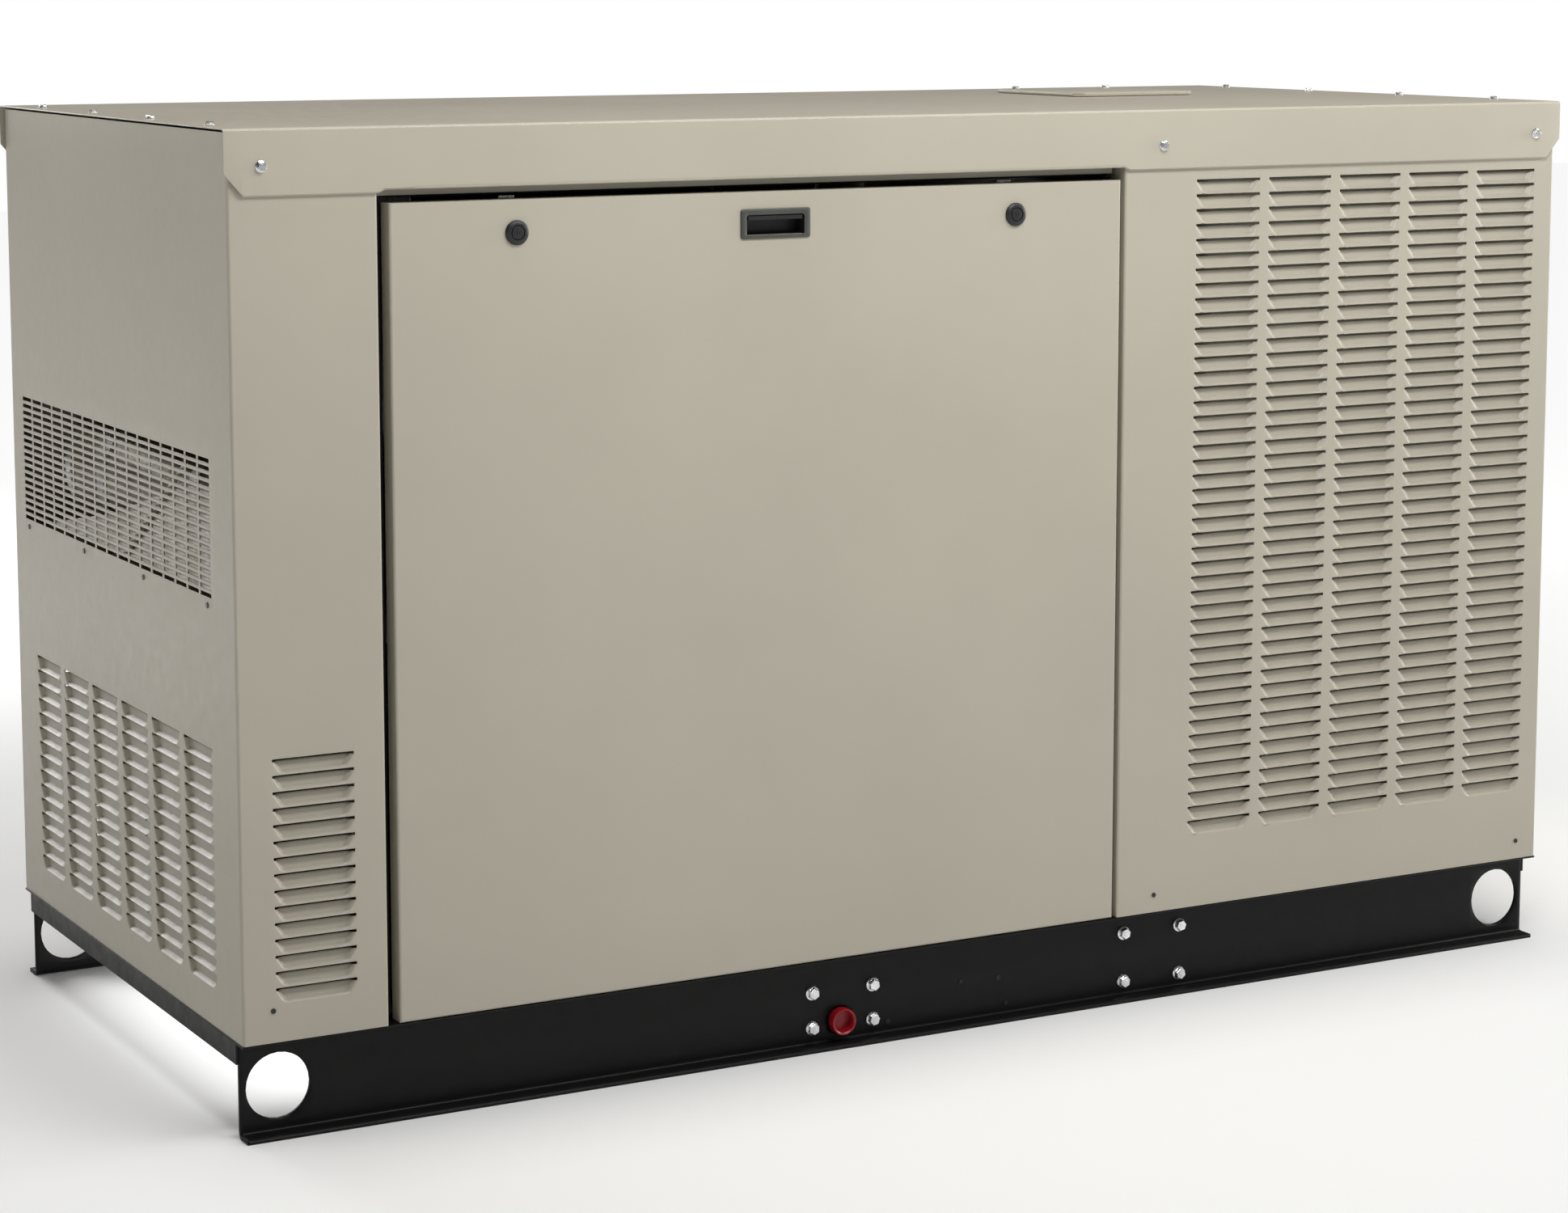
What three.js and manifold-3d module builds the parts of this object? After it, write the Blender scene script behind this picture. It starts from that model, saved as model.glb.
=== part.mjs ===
// Home standby generator set: a liquid-cooled four-cylinder gas engine and an alternator in a sheet-metal
// enclosure on a black formed-steel skid.
//
// Units are millimetres. The origin is on the ground under the middle of the set. +X runs along the
// length from the alternator end to the radiator end, +Y from the front to the rear, +Z up.

import * as THREE from 'three';
import { mergeVertices } from 'three/addons/utils/BufferGeometryUtils.js';
import Module from 'manifold-3d';

const wasm = await Module();
wasm.setup();

// ---------------------------------------------------------------- driving dimensions

const FRONT = -1;
const REAR = 1;
const GAP = 0.3; // air between pieces that touch

// enclosure
const LENGTH = 1870;
const WIDTH = 826;
const HEIGHT = 1148;
const SHEET = 2;
const HALF_LENGTH = LENGTH / 2;
const HALF_WIDTH = WIDTH / 2;
const ROOF_OVERHANG = 5;
const ROOF_BAND = 75;
const ROOF_CHAMFER = 25;
const PANEL_TOP = HEIGHT - 4.5;

// skid
const SKID_HEIGHT = 115;
const RAIL_PLATE = 5;
const RAIL_SETBACK = 24; // the rail's web stands this far inside the enclosure's face
const RAIL_TOP_FLANGE = 44;
const PAN_PLATE = 2.7;
const PAN_TURN_DOWN = 27;
const LIFTING_HOLE = { radius: 39, x: 886, z: 57.5 };
const CROSS_MEMBERS = { engine: -145, radiator: 316.5 };
const CROSS_MEMBER_WIDTH = 120;
const FUEL_INLET = { x: -149, z: 30 };
const FUEL_PIPE_RADIUS = 13;
const FUEL_PIPE_Y = -318;

// door and its opening
const DOOR = { left: -744.5, right: 239.5, bottom: 116, top: HEIGHT - 84.2, depth: 25 };
const DOOR_CENTRE = (DOOR.left + DOOR.right) / 2;
const OPENING = { left: -758.5, right: 246 };
const FRAME_RETURN = 41; // how far the frame beside the door turns inwards
const DOOR_STOP = 22;
const LATCH = { spread: 336, z: DOOR.top - 41, headRadius: 14.3, shaftRadius: 9, cam: 41 };
const HANDLE = { width: 93.6, height: 35.4, bezel: 7.8, depth: 22, proud: 4 };
const LINER_TOP = 985;

// louvre banks, each a column of short louvres pressed into the panel
const LOUVRE = { pitch: 18.85, width: 100, columnPitch: 112.6, deep: 5, lastHood: 15 };
const LOW_BANK = { top: 442, rows: 15 };
const TALL_BANK = { top: 1058.5, rows: 45, firstX: 353.7, columns: 5 };
const CORNER_BANK_X = -896;
const END_BANK = { firstY: -330, columns: 6 };

// engine and alternator, about the crankshaft's axis
const CRANK_Z = 340;
const BLOCK = { left: -262, right: 150 };
const ALTERNATOR = { left: -690, right: -332, radius: 175 };
const PULLEY = { left: 176, width: 22 };
const CRANK_PULLEY_RADIUS = 75;
const PUMP_PULLEY_RADIUS = 60;
const CHARGER_PULLEY_RADIUS = 34;
const PUMP_Z = 165; // above the crankshaft
const CHARGER = { y: -185, z: 180, radius: 62 };
const FAN_RADIUS = 235;

// cooling
const RADIATOR = { left: 285, right: 335, halfWidth: 285, bottom: 200, top: 810 };
const SHROUD = { left: 228, halfWidth: 280, bottom: 203, top: 807, hole: 250 };
const BULKHEAD_X = 340;
const FILLER = { x: 565, y: 140 };
const ROOF_COVER = { width: 200, depth: 220, height: 6 };

// exhaust
const MUFFLER = { x: -818, z: 690, radius: 85, halfLength: 290 };
const EXHAUST_Y = 260;
const EXHAUST_RADIUS = 24;

// control and connection box over the alternator
const BOX = { left: -690, right: -400, halfWidth: 180, bottom: CRANK_Z + 175.5, top: 760 };
const BREAKER = { x: -610, z: 630, width: 100, height: 140, depth: 20 };
const STOP_BUTTON = { x: -465, z: 700 };

// ---------------------------------------------------------------- materials

function finish(color, roughness, metalness) {
  return new THREE.MeshStandardMaterial({ color, roughness, metalness });
}

const beigePaint = finish(0xbab4a3, 0.45, 0.1);
const blackPaint = finish(0x1b1b1c, 0.5, 0.1);
const zinc = finish(0xc4c6c6, 0.3, 0.9);
const galvanised = finish(0xa4a8ab, 0.45, 0.8);
const castIron = finish(0x4a4c4e, 0.7, 0.3);
const castAluminium = finish(0xa9abac, 0.5, 0.8);
const blackPlastic = finish(0x19191b, 0.5, 0);
const greyPlastic = finish(0x55574f, 0.55, 0);
const redPlastic = finish(0x9c1420, 0.35, 0);
const blackRubber = finish(0x161616, 0.85, 0);
const foam = finish(0x2b2b2d, 0.95, 0);
const finMetal = finish(0x2a2c2e, 0.6, 0.5);
const hotSteel = finish(0x8d8578, 0.5, 0.8);
const milkyPlastic = finish(0xd8d8cc, 0.4, 0);
const yellowPaint = finish(0xc8a32a, 0.5, 0);

// ---------------------------------------------------------------- solids

const part = new THREE.Group();

/** Adds one named piece to a group. */
function add(group, name, geometry, material) {
  const mesh = new THREE.Mesh(geometry, material);
  mesh.name = name;
  group.add(mesh);
  return mesh;
}

/** A group placed in the part, for the pieces that share an axis. */
function groupAt(x, y, z) {
  const group = new THREE.Group();
  group.position.set(x, y, z);
  part.add(group);
  return group;
}

function toSolid(geometry) {
  const bare = geometry.clone();
  bare.deleteAttribute('normal');
  bare.deleteAttribute('uv');
  const merged = mergeVertices(bare, 1e-3);
  return new wasm.Manifold(new wasm.Mesh({
    numProp: 3,
    vertProperties: new Float32Array(merged.attributes.position.array),
    triVerts: new Uint32Array(merged.index.array),
  }));
}

function toGeometry(solid) {
  const mesh = solid.getMesh();
  const geometry = new THREE.BufferGeometry();
  geometry.setAttribute('position', new THREE.BufferAttribute(mesh.vertProperties, 3));
  geometry.setIndex(new THREE.BufferAttribute(mesh.triVerts, 1));
  return geometry;
}

function join(...geometries) {
  return toGeometry(geometries.map(toSolid).reduce((sum, next) => sum.add(next)));
}

function cut(base, ...tools) {
  return toGeometry(tools.map(toSolid).reduce((rest, tool) => rest.subtract(tool), toSolid(base)));
}

/** A block between two opposite corners, given in any order. */
function block([x0, y0, z0], [x1, y1, z1]) {
  const geometry = new THREE.BoxGeometry(Math.abs(x1 - x0), Math.abs(y1 - y0), Math.abs(z1 - z0));
  return geometry.translate((x0 + x1) / 2, (y0 + y1) / 2, (z0 + z1) / 2);
}

// Turns geometry made along +Z so that it runs along another axis. Its outline's two coordinates become
// (y, z) along X and (x, z) along -Y.
const ALONG = {
  x: new THREE.Matrix4().makeBasis(
    new THREE.Vector3(0, 1, 0), new THREE.Vector3(0, 0, 1), new THREE.Vector3(1, 0, 0)),
  y: new THREE.Matrix4().makeBasis(
    new THREE.Vector3(1, 0, 0), new THREE.Vector3(0, 0, 1), new THREE.Vector3(0, -1, 0)),
  z: new THREE.Matrix4(),
};

/** An outline extruded along an axis between two places on it. */
function prism(axis, outline, from, to) {
  const shape = new THREE.Shape(outline.map(([u, v]) => new THREE.Vector2(u, v)));
  const geometry = new THREE.ExtrudeGeometry(shape, { depth: Math.abs(to - from), bevelEnabled: false });
  const start = axis === 'y' ? -Math.max(from, to) : Math.min(from, to);
  return geometry.translate(0, 0, start).applyMatrix4(ALONG[axis]);
}

/** A round bar along an axis; u and v are the two coordinates that the axis leaves. */
function rod(axis, radius, from, to, u = 0, v = 0, sides = 24) {
  const outline = Array.from({ length: sides }, (_, i) => {
    const angle = (2 * Math.PI * (i + 0.5)) / sides;
    return [u + radius * Math.cos(angle), v + radius * Math.sin(angle)];
  });
  return prism(axis, outline, from, to);
}

/** A profile of [radius, place] points turned round the X axis. It closes on itself or on the axis. */
function turned(profile, sides = 24) {
  const points = profile.map(([radius, place]) => new THREE.Vector2(radius, place));
  const geometry = new THREE.LatheGeometry(points, sides);
  return geometry.rotateZ(-Math.PI / 2);
}

/** A bent tube through the given points. */
function tube(points, radius, steps, sides = 10) {
  const curve = new THREE.CatmullRomCurve3(points.map((p) => new THREE.Vector3(...p)), false, 'centripetal');
  const section = new THREE.Shape(Array.from({ length: sides }, (_, i) => {
    const angle = (2 * Math.PI * i) / sides;
    return new THREE.Vector2(radius * Math.cos(angle), radius * Math.sin(angle));
  }));
  return new THREE.ExtrudeGeometry(section, { steps, extrudePath: curve, bevelEnabled: false });
}

/** The outline of a folded sheet: a line along one face, and the same line set over by its thickness. */
function fold(line, thickness) {
  const normals = line.slice(1).map(([x, y], i) => {
    const [dx, dy] = [x - line[i][0], y - line[i][1]];
    const length = Math.hypot(dx, dy);
    return [-dy / length, dx / length];
  });
  const inner = line.map(([x, y], i) => {
    const a = normals[Math.max(i - 1, 0)];
    const b = normals[Math.min(i, normals.length - 1)];
    const scale = thickness / (1 + a[0] * b[0] + a[1] * b[1]);
    return [x + (a[0] + b[0]) * scale, y + (a[1] + b[1]) * scale];
  });
  return [...line, ...inner.reverse()];
}

// ---------------------------------------------------------------- skid

/** A formed rail: foot turned outwards, tall web with a lifting hole at each end, top turned inwards. */
function skidRail(side) {
  const web = HALF_WIDTH - RAIL_SETBACK;
  const top = SKID_HEIGHT - PAN_PLATE - GAP;
  const outline = [
    [HALF_WIDTH, 0], [web - RAIL_PLATE, 0], [web - RAIL_PLATE, top - RAIL_PLATE],
    [web - RAIL_TOP_FLANGE, top - RAIL_PLATE], [web - RAIL_TOP_FLANGE, top],
    [web, top], [web, RAIL_PLATE], [HALF_WIDTH, RAIL_PLATE],
  ].map(([y, z]) => [side * y, z]);
  const end = HALF_LENGTH - 2.5;
  const hole = (x, z, radius) => rod('y', radius, side * (web - 20), side * (web + 20), x, z);
  const holes = [-1, 1].map((way) => hole(way * LIFTING_HOLE.x, LIFTING_HOLE.z, LIFTING_HOLE.radius));
  if (side === FRONT) holes.push(hole(FUEL_INLET.x, FUEL_INLET.z, FUEL_PIPE_RADIUS + 3));
  return cut(prism('x', outline, -end, end), ...holes);
}

/** An upside-down channel from rail to rail. */
function crossMember(x) {
  const half = CROSS_MEMBER_WIDTH / 2;
  const top = SKID_HEIGHT - PAN_PLATE - 2 * GAP - RAIL_PLATE;
  const line = [[x - half, 10], [x - half, top], [x + half, top], [x + half, 10]];
  const end = HALF_WIDTH - RAIL_SETBACK - RAIL_PLATE - GAP;
  return prism('y', fold(line, -RAIL_PLATE), -end, end);
}

/** The floor of the enclosure, turned down at both ends. */
function basePan() {
  const halfLength = HALF_LENGTH + 1;
  const under = SKID_HEIGHT - PAN_PLATE;
  const halfTurn = HALF_WIDTH - RAIL_SETBACK;
  const floor = block([-halfLength, -HALF_WIDTH, under], [halfLength, HALF_WIDTH, SKID_HEIGHT]);
  const turns = [-1, 1].map((way) => block(
    [way * halfLength, -halfTurn, SKID_HEIGHT - PAN_TURN_DOWN],
    [way * (halfLength - PAN_PLATE), halfTurn, SKID_HEIGHT - 1],
  ));
  return cut(join(floor, ...turns), fuelPipeHole());
}

function fuelPipeHole() {
  return rod('z', FUEL_PIPE_RADIUS + 3, SKID_HEIGHT - 30, SKID_HEIGHT + 5, FUEL_INLET.x, FUEL_PIPE_Y, 12);
}

/** The plastic plug that closes the fuel inlet until the gas line is connected. */
function fuelInletCap() {
  const face = -(HALF_WIDTH - RAIL_SETBACK);
  const { x, z } = FUEL_INLET;
  const rim = rod('y', 18, face - 5, face - GAP, x, z, 20);
  const body = rod('y', 15, face - 20, face + 8, x, z, 20);
  const mouth = rod('y', 11, face - 21, face - 6, x, z, 12);
  return cut(join(rim, body), mouth);
}

add(part, 'skid_rail_front', skidRail(FRONT), blackPaint);
add(part, 'skid_rail_rear', skidRail(REAR), blackPaint);
add(part, 'cross_member_engine', cut(crossMember(CROSS_MEMBERS.engine), fuelPipeHole()), blackPaint);
add(part, 'cross_member_radiator', crossMember(CROSS_MEMBERS.radiator), blackPaint);
add(part, 'base_pan', basePan(), blackPaint);
add(part, 'fuel_inlet_cap', fuelInletCap(), redPlastic);

// ---------------------------------------------------------------- enclosure

/** Where a bank of louvres ends below. */
function bankBottom({ top, rows }) {
  return top - (rows - 1) * LOUVRE.pitch - LOUVRE.lastHood;
}

/** One column of louvres on a front or rear panel as a tray: the block that it fills and its hollow. */
function louvreColumn(side, x, bank) {
  const bottom = bankBottom(bank);
  const floor = HALF_WIDTH - LOUVRE.deep;
  return {
    body: block([x, side * (HALF_WIDTH - SHEET / 2), bottom], [x + LOUVRE.width, side * (floor - SHEET), bank.top]),
    hollow: block([x + SHEET, side * (HALF_WIDTH + 1), bottom + SHEET],
      [x + LOUVRE.width - SHEET, side * floor, bank.top - SHEET]),
  };
}

/** A panel with its louvre columns pressed into it. */
function pressed(sheet, columns) {
  return cut(join(sheet, ...columns.map(({ body }) => body)), ...columns.map(({ hollow }) => hollow));
}

/** A panel between a corner of the enclosure and the door, turned in beside the door to make its stop. */
function cornerPanel(side, cornerX, openingX, columns) {
  const way = Math.sign(cornerX - openingX);
  const inside = HALF_WIDTH - FRAME_RETURN;
  const line = [
    [cornerX, side * HALF_WIDTH], [openingX, side * HALF_WIDTH],
    [openingX, side * inside], [openingX - way * DOOR_STOP, side * inside],
  ];
  return pressed(prism('z', fold(line, side * way * SHEET), SKID_HEIGHT + GAP, PANEL_TOP), columns);
}

function leftCornerPanel(side) {
  return cornerPanel(side, -HALF_LENGTH, OPENING.left, [louvreColumn(side, CORNER_BANK_X, LOW_BANK)]);
}

function rightCornerPanel(side) {
  const columns = Array.from({ length: TALL_BANK.columns }, (_, i) => louvreColumn(
    side, TALL_BANK.firstX + i * LOUVRE.columnPitch, TALL_BANK));
  return cornerPanel(side, HALF_LENGTH, OPENING.right, columns);
}

/** An end panel, turned in along its two upright edges. */
function endPanel(way) {
  const y = HALF_WIDTH - SHEET - GAP;
  const x = way * HALF_LENGTH;
  const line = [[x - way * 22, -y], [x, -y], [x, y], [x - way * 22, y]];
  return prism('z', fold(line, way * SHEET), SKID_HEIGHT + GAP, PANEL_TOP);
}

function endLouvreColumns() {
  const bottom = bankBottom(LOW_BANK);
  const floor = -HALF_LENGTH + LOUVRE.deep;
  return Array.from({ length: END_BANK.columns }, (_, i) => {
    const y = END_BANK.firstY + i * LOUVRE.columnPitch;
    return {
      body: block([-HALF_LENGTH + SHEET / 2, y, bottom], [floor + SHEET, y + LOUVRE.width, LOW_BANK.top]),
      hollow: block([-HALF_LENGTH - 1, y + SHEET, bottom + SHEET],
        [floor, y + LOUVRE.width - SHEET, LOW_BANK.top - SHEET]),
    };
  });
}

/** One sheet over the top, turned down at the front and rear, with a rail over each door. */
function roof() {
  const x = HALF_LENGTH + ROOF_OVERHANG;
  const y = HALF_WIDTH + ROOF_OVERHANG;
  const under = HEIGHT - SHEET;
  const bottom = HEIGHT - ROOF_BAND;
  const band = [
    [-x, under], [-x, bottom + ROOF_CHAMFER], [-x + ROOF_CHAMFER, bottom], [-750, bottom],
    [-750, bottom + 3.5], [241, bottom + 3.5], [241, bottom],
    [x - ROOF_CHAMFER, bottom], [x, bottom + ROOF_CHAMFER], [x, under],
  ];
  const pieces = [block([-x, -y, under], [x, y, HEIGHT])];
  for (const side of [FRONT, REAR]) {
    pieces.push(prism('y', band.map(([u, v]) => [u, v === under ? v + 1 : v]),
      side * y, side * (y - SHEET)));
    const railFace = side * (HALF_WIDTH - RAIL_SETBACK);
    pieces.push(block([-752, railFace, DOOR.top + 2.5], [242, railFace - side * 3, HEIGHT - 1]));
  }
  const filler = block([FILLER.x - 75, FILLER.y - 80, under - 1], [FILLER.x + 75, FILLER.y + 80, HEIGHT + 1]);
  return cut(join(...pieces), filler);
}

/** The low lid over the coolant filler. */
function roofCover() {
  const [x, y] = [ROOF_COVER.width / 2, ROOF_COVER.depth / 2];
  const outline = [[-x, -y + 12], [-x + 12, -y], [x - 12, -y], [x, -y + 12],
    [x, y - 12], [x - 12, y], [-x + 12, y], [-x, y - 12]];
  return prism('z', outline.map(([u, v]) => [u + FILLER.x, v + FILLER.y]),
    HEIGHT + GAP, HEIGHT + ROOF_COVER.height);
}

/** The shelf and wall that box in the muffler, with a hole for the exhaust pipe. */
function mufflerPartition() {
  const halfWidth = HALF_WIDTH - FRAME_RETURN - SHEET - 1;
  const line = [[-HALF_LENGTH + 2.5, 585], [-700, 585], [-700, HEIGHT - 6]];
  const hole = rod('x', EXHAUST_RADIUS + 8, -710, -690, EXHAUST_Y, MUFFLER.z, 16);
  return cut(prism('y', fold(line, SHEET), -halfWidth, halfWidth), hole);
}

/** The wall that the radiator blows through, with a shelf for the coolant tank. */
function radiatorBulkhead() {
  const halfWidth = HALF_WIDTH - SHEET - LOUVRE.deep - 2; // clear of the louvres
  const wall = block([BULKHEAD_X, -halfWidth, SKID_HEIGHT + GAP], [BULKHEAD_X + SHEET, halfWidth, HEIGHT - 6]);
  const window = block([BULKHEAD_X - 5, -280, 205], [BULKHEAD_X + 5, 280, 805]);
  const shelf = block([BULKHEAD_X + 1, FILLER.y - 95, 948], [FILLER.x + 80, FILLER.y + 95, 951]);
  const gussets = [-1, 1].map((way) => prism('y', [
    [BULKHEAD_X + 1, 949], [BULKHEAD_X + 1, 870], [FILLER.x + 40, 949],
  ], FILLER.y + way * 95, FILLER.y + way * 92));
  return join(cut(wall, window), shelf, ...gussets);
}

add(part, 'roof', roof(), beigePaint);
add(part, 'roof_access_cover', roofCover(), beigePaint);
add(part, 'left_end_panel', pressed(endPanel(-1), endLouvreColumns()), beigePaint);
add(part, 'right_end_panel', endPanel(1), beigePaint);
add(part, 'front_left_panel', leftCornerPanel(FRONT), beigePaint);
add(part, 'front_right_panel', rightCornerPanel(FRONT), beigePaint);
add(part, 'rear_left_panel', leftCornerPanel(REAR), beigePaint);
add(part, 'rear_right_panel', rightCornerPanel(REAR), beigePaint);
add(part, 'muffler_partition', mufflerPartition(), galvanised);
add(part, 'radiator_bulkhead', radiatorBulkhead(), beigePaint);

// ---------------------------------------------------------------- doors

/** A shallow pan with its open side inwards, with holes for the two latches and the handle. */
function doorPan(side) {
  const face = side * HALF_WIDTH;
  const back = side * (HALF_WIDTH - DOOR.depth);
  const skin = side * (HALF_WIDTH - SHEET);
  const outer = block([DOOR.left, face, DOOR.bottom], [DOOR.right, back, DOOR.top]);
  const inner = block(
    [DOOR.left + SHEET, skin, DOOR.bottom + SHEET],
    [DOOR.right - SHEET, back - side * 5, DOOR.top - SHEET],
  );
  const cup = HANDLE.width / 2 - HANDLE.bezel + 3;
  const cupHeight = HANDLE.height / 2 - 4;
  const handleHole = block(
    [DOOR_CENTRE - cup - 0.5, face + side * 5, LATCH.z - cupHeight - 0.5],
    [DOOR_CENTRE + cup + 0.5, skin - side * 5, LATCH.z + cupHeight + 0.5],
  );
  const latchHoles = [-1, 1].map((way) => rod('y', LATCH.shaftRadius + 0.6,
    face + side * 5, skin - side * 5, DOOR_CENTRE + way * LATCH.spread, LATCH.z, 16));
  return cut(outer, inner, handleHole, ...latchHoles);
}

/** The sound-deadening foam glued inside the door. */
function doorLiner(side) {
  return block(
    [DOOR.left + SHEET + GAP, side * (HALF_WIDTH - SHEET - GAP), DOOR.bottom + SHEET + GAP],
    [DOOR.right - SHEET - GAP, side * (HALF_WIDTH - DOOR.depth + 1), LINER_TOP],
  );
}

/** A recessed pull: a bezel on the door's face round a pocket for the fingers. */
function doorHandle(side) {
  const face = HALF_WIDTH + GAP;
  const [x, z] = [HANDLE.width / 2, HANDLE.height / 2];
  const cup = x - HANDLE.bezel + 3;
  const bezel = block([DOOR_CENTRE - x, side * (face + HANDLE.proud), LATCH.z - z],
    [DOOR_CENTRE + x, side * face, LATCH.z + z]);
  const cupBlock = block([DOOR_CENTRE - cup, side * (face + 1), LATCH.z - z + 4],
    [DOOR_CENTRE + cup, side * (face - HANDLE.depth), LATCH.z + z - 4]);
  const pocket = block([DOOR_CENTRE - cup + 3, side * (face + 10), LATCH.z - z + 6.5],
    [DOOR_CENTRE + cup - 3, side * (face - HANDLE.depth + 2), LATCH.z + z - 7]);
  return cut(join(bezel, cupBlock), pocket);
}

/** A quarter-turn latch: key head, shaft and the cam that points up behind the rail when it is shut. */
function latch(side) {
  const head = rod('y', LATCH.headRadius, side * (HALF_WIDTH + 5), side * (HALF_WIDTH + GAP), 0, 0, 20);
  const shaft = rod('y', LATCH.shaftRadius, side * (HALF_WIDTH + 1), side * (HALF_WIDTH - 30), 0, 0, 12);
  const cam = block([-10, side * (HALF_WIDTH - 27), -10], [10, side * (HALF_WIDTH - 30), LATCH.cam]);
  return join(head, shaft, cam);
}

for (const [name, side] of [['front', FRONT], ['rear', REAR]]) {
  add(part, `${name}_door`, doorPan(side), beigePaint);
  add(part, `${name}_door_liner`, doorLiner(side), foam);
  add(part, `${name}_door_handle`, doorHandle(side), greyPlastic);
  for (const [hand, way] of [['left', -1], ['right', 1]]) {
    const group = groupAt(DOOR_CENTRE + way * LATCH.spread, 0, LATCH.z);
    add(group, `${name}_latch_${hand}`, latch(side), blackPlastic);
  }
}

// ---------------------------------------------------------------- engine

const engine = groupAt(0, 0, CRANK_Z);

function engineBlock() {
  const section = [[-115, -85], [115, -85], [115, 20], [95, 60], [95, 219.7], [-95, 219.7],
    [-95, 60], [-115, 20]];
  const pump = rod('x', 48, BLOCK.right - 1, PULLEY.left - 4, 0, PUMP_Z);
  const pumpInlet = rod('y', 10, 40, 97, BLOCK.right + 11, PUMP_Z, 12);
  const feet = [-1, 1].map((way) => block([40, way * 114, -70], [100, way * 185, -58]));
  const legs = [-1, 1].map((way) => block([66, way * 114, -59], [74, way * 175, 10]));
  return join(prism('x', section, BLOCK.left, BLOCK.right), pump, pumpInlet, ...feet, ...legs);
}

function oilPan() {
  const section = [[-105, -85.3], [-105, -105], [-80, -175], [80, -175], [105, -105], [105, -85.3]];
  return prism('x', section, BLOCK.left + 22, BLOCK.right - 20);
}

function valveCover() {
  const section = [[-72, 330.3], [72, 330.3], [72, 370], [50, 395], [-50, 395], [-72, 370]];
  return prism('x', section, BLOCK.left + 15, BLOCK.right - 15);
}

function oilFillerCap() {
  const lid = rod('z', 26, 395 + GAP + 6, 417, 90, 0, 12);
  const neck = rod('z', 20, 395 + GAP, 395 + 9, 90, 0, 12);
  return join(lid, neck);
}

/** A manifold on one side of the head: a flange, four runners and a log along the engine. */
function manifold(side, extras) {
  const flange = block([BLOCK.left + 20, side * 92.3, 258], [BLOCK.right - 20, side * 102, 304]);
  const runners = [0, 1, 2, 3].map((i) => rod('y', 17, side * 100, side * 160, BLOCK.left + 60 + i * 98, 281, 12));
  const log = rod('x', 28, BLOCK.left + 30, BLOCK.right - 30, side * 162, 281, 16);
  return join(flange, log, ...runners, ...extras);
}

function starterMotor() {
  const motor = rod('x', 38, BLOCK.left + 0.5, -95, -165, -10, 16);
  const solenoid = rod('x', 22, BLOCK.left + 20, -140, -165, 44, 12);
  return join(motor, solenoid);
}

/** The air filter's canister, lying over the intake throat. */
function airCleaner() {
  const canister = rod('x', 85, -200, 90, -162, 510);
  const snorkel = rod('x', 34, 80, 130, -190, 530, 16);
  const neck = rod('z', 31, 420 + GAP, 440, -55, -162, 16);
  return join(canister, snorkel, neck);
}

const throat = rod('z', 29, 281, 420, -55, -162, 16);
const outletFlange = rod('x', 40, BLOCK.left + 10, BLOCK.left + 32, 162, 281, 16);

add(engine, 'engine_block', engineBlock(), castIron);
add(engine, 'oil_pan', oilPan(), blackPaint);
add(engine, 'cylinder_head', block([BLOCK.left + 7, -92, 220], [BLOCK.right - 5, 92, 330]), castAluminium);
add(engine, 'valve_cover', valveCover(), castAluminium);
add(engine, 'oil_filler_cap', oilFillerCap(), blackPlastic);
add(engine, 'oil_filter', rod('y', 38, -188, -115.3, 0, -30, 20), yellowPaint);
add(engine, 'intake_manifold', manifold(FRONT, [throat]), castAluminium);
add(engine, 'exhaust_manifold', manifold(REAR, [outletFlange]), castIron);
add(engine, 'air_cleaner', airCleaner(), blackPlastic);
add(engine, 'starter_motor', starterMotor(), blackPaint);
add(engine, 'flywheel_housing', turned([
  [60, ALTERNATOR.right + GAP], [205, ALTERNATOR.right + GAP], [205, ALTERNATOR.right + 22],
  [150, BLOCK.left - GAP], [60, BLOCK.left - GAP], [60, ALTERNATOR.right + GAP],
]), castAluminium);

// ---------------------------------------------------------------- belt drive and fan

/** A grooved pulley with a hub towards the engine. */
function pulley(radius, hubRadius, hubFrom, y, z) {
  const { left, width } = PULLEY;
  const rim = rod('x', radius, left, left + width, y, z);
  const hub = rod('x', hubRadius, hubFrom, left + 1, y, z, 12);
  const dish = rod('x', radius - 12, left + width - 8, left + width + 1, y, z, 16);
  const nose = rod('x', hubRadius * 0.8, left + width - 9, left + width, y, z, 12);
  return join(cut(join(rim, hub), dish), nose);
}

/** Points round a circle in the belt's plane. */
function circlePoints(y, z, radius) {
  return Array.from({ length: 32 }, (_, i) => {
    const angle = (2 * Math.PI * i) / 32;
    return [y + radius * Math.cos(angle), z + radius * Math.sin(angle)];
  });
}

/** The points of a set that stand on its outside, in order. */
function convexOutline(points) {
  const sorted = [...points].sort((a, b) => a[0] - b[0] || a[1] - b[1]);
  const turnsLeft = (a, b, c) => (b[0] - a[0]) * (c[1] - a[1]) - (b[1] - a[1]) * (c[0] - a[0]) > 1e-6;
  const half = (list) => list.reduce((chain, point) => {
    while (chain.length > 1 && !turnsLeft(chain.at(-2), chain.at(-1), point)) chain.pop();
    chain.push(point);
    return chain;
  }, []).slice(0, -1);
  return [...half(sorted), ...half(sorted.reverse())];
}

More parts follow.
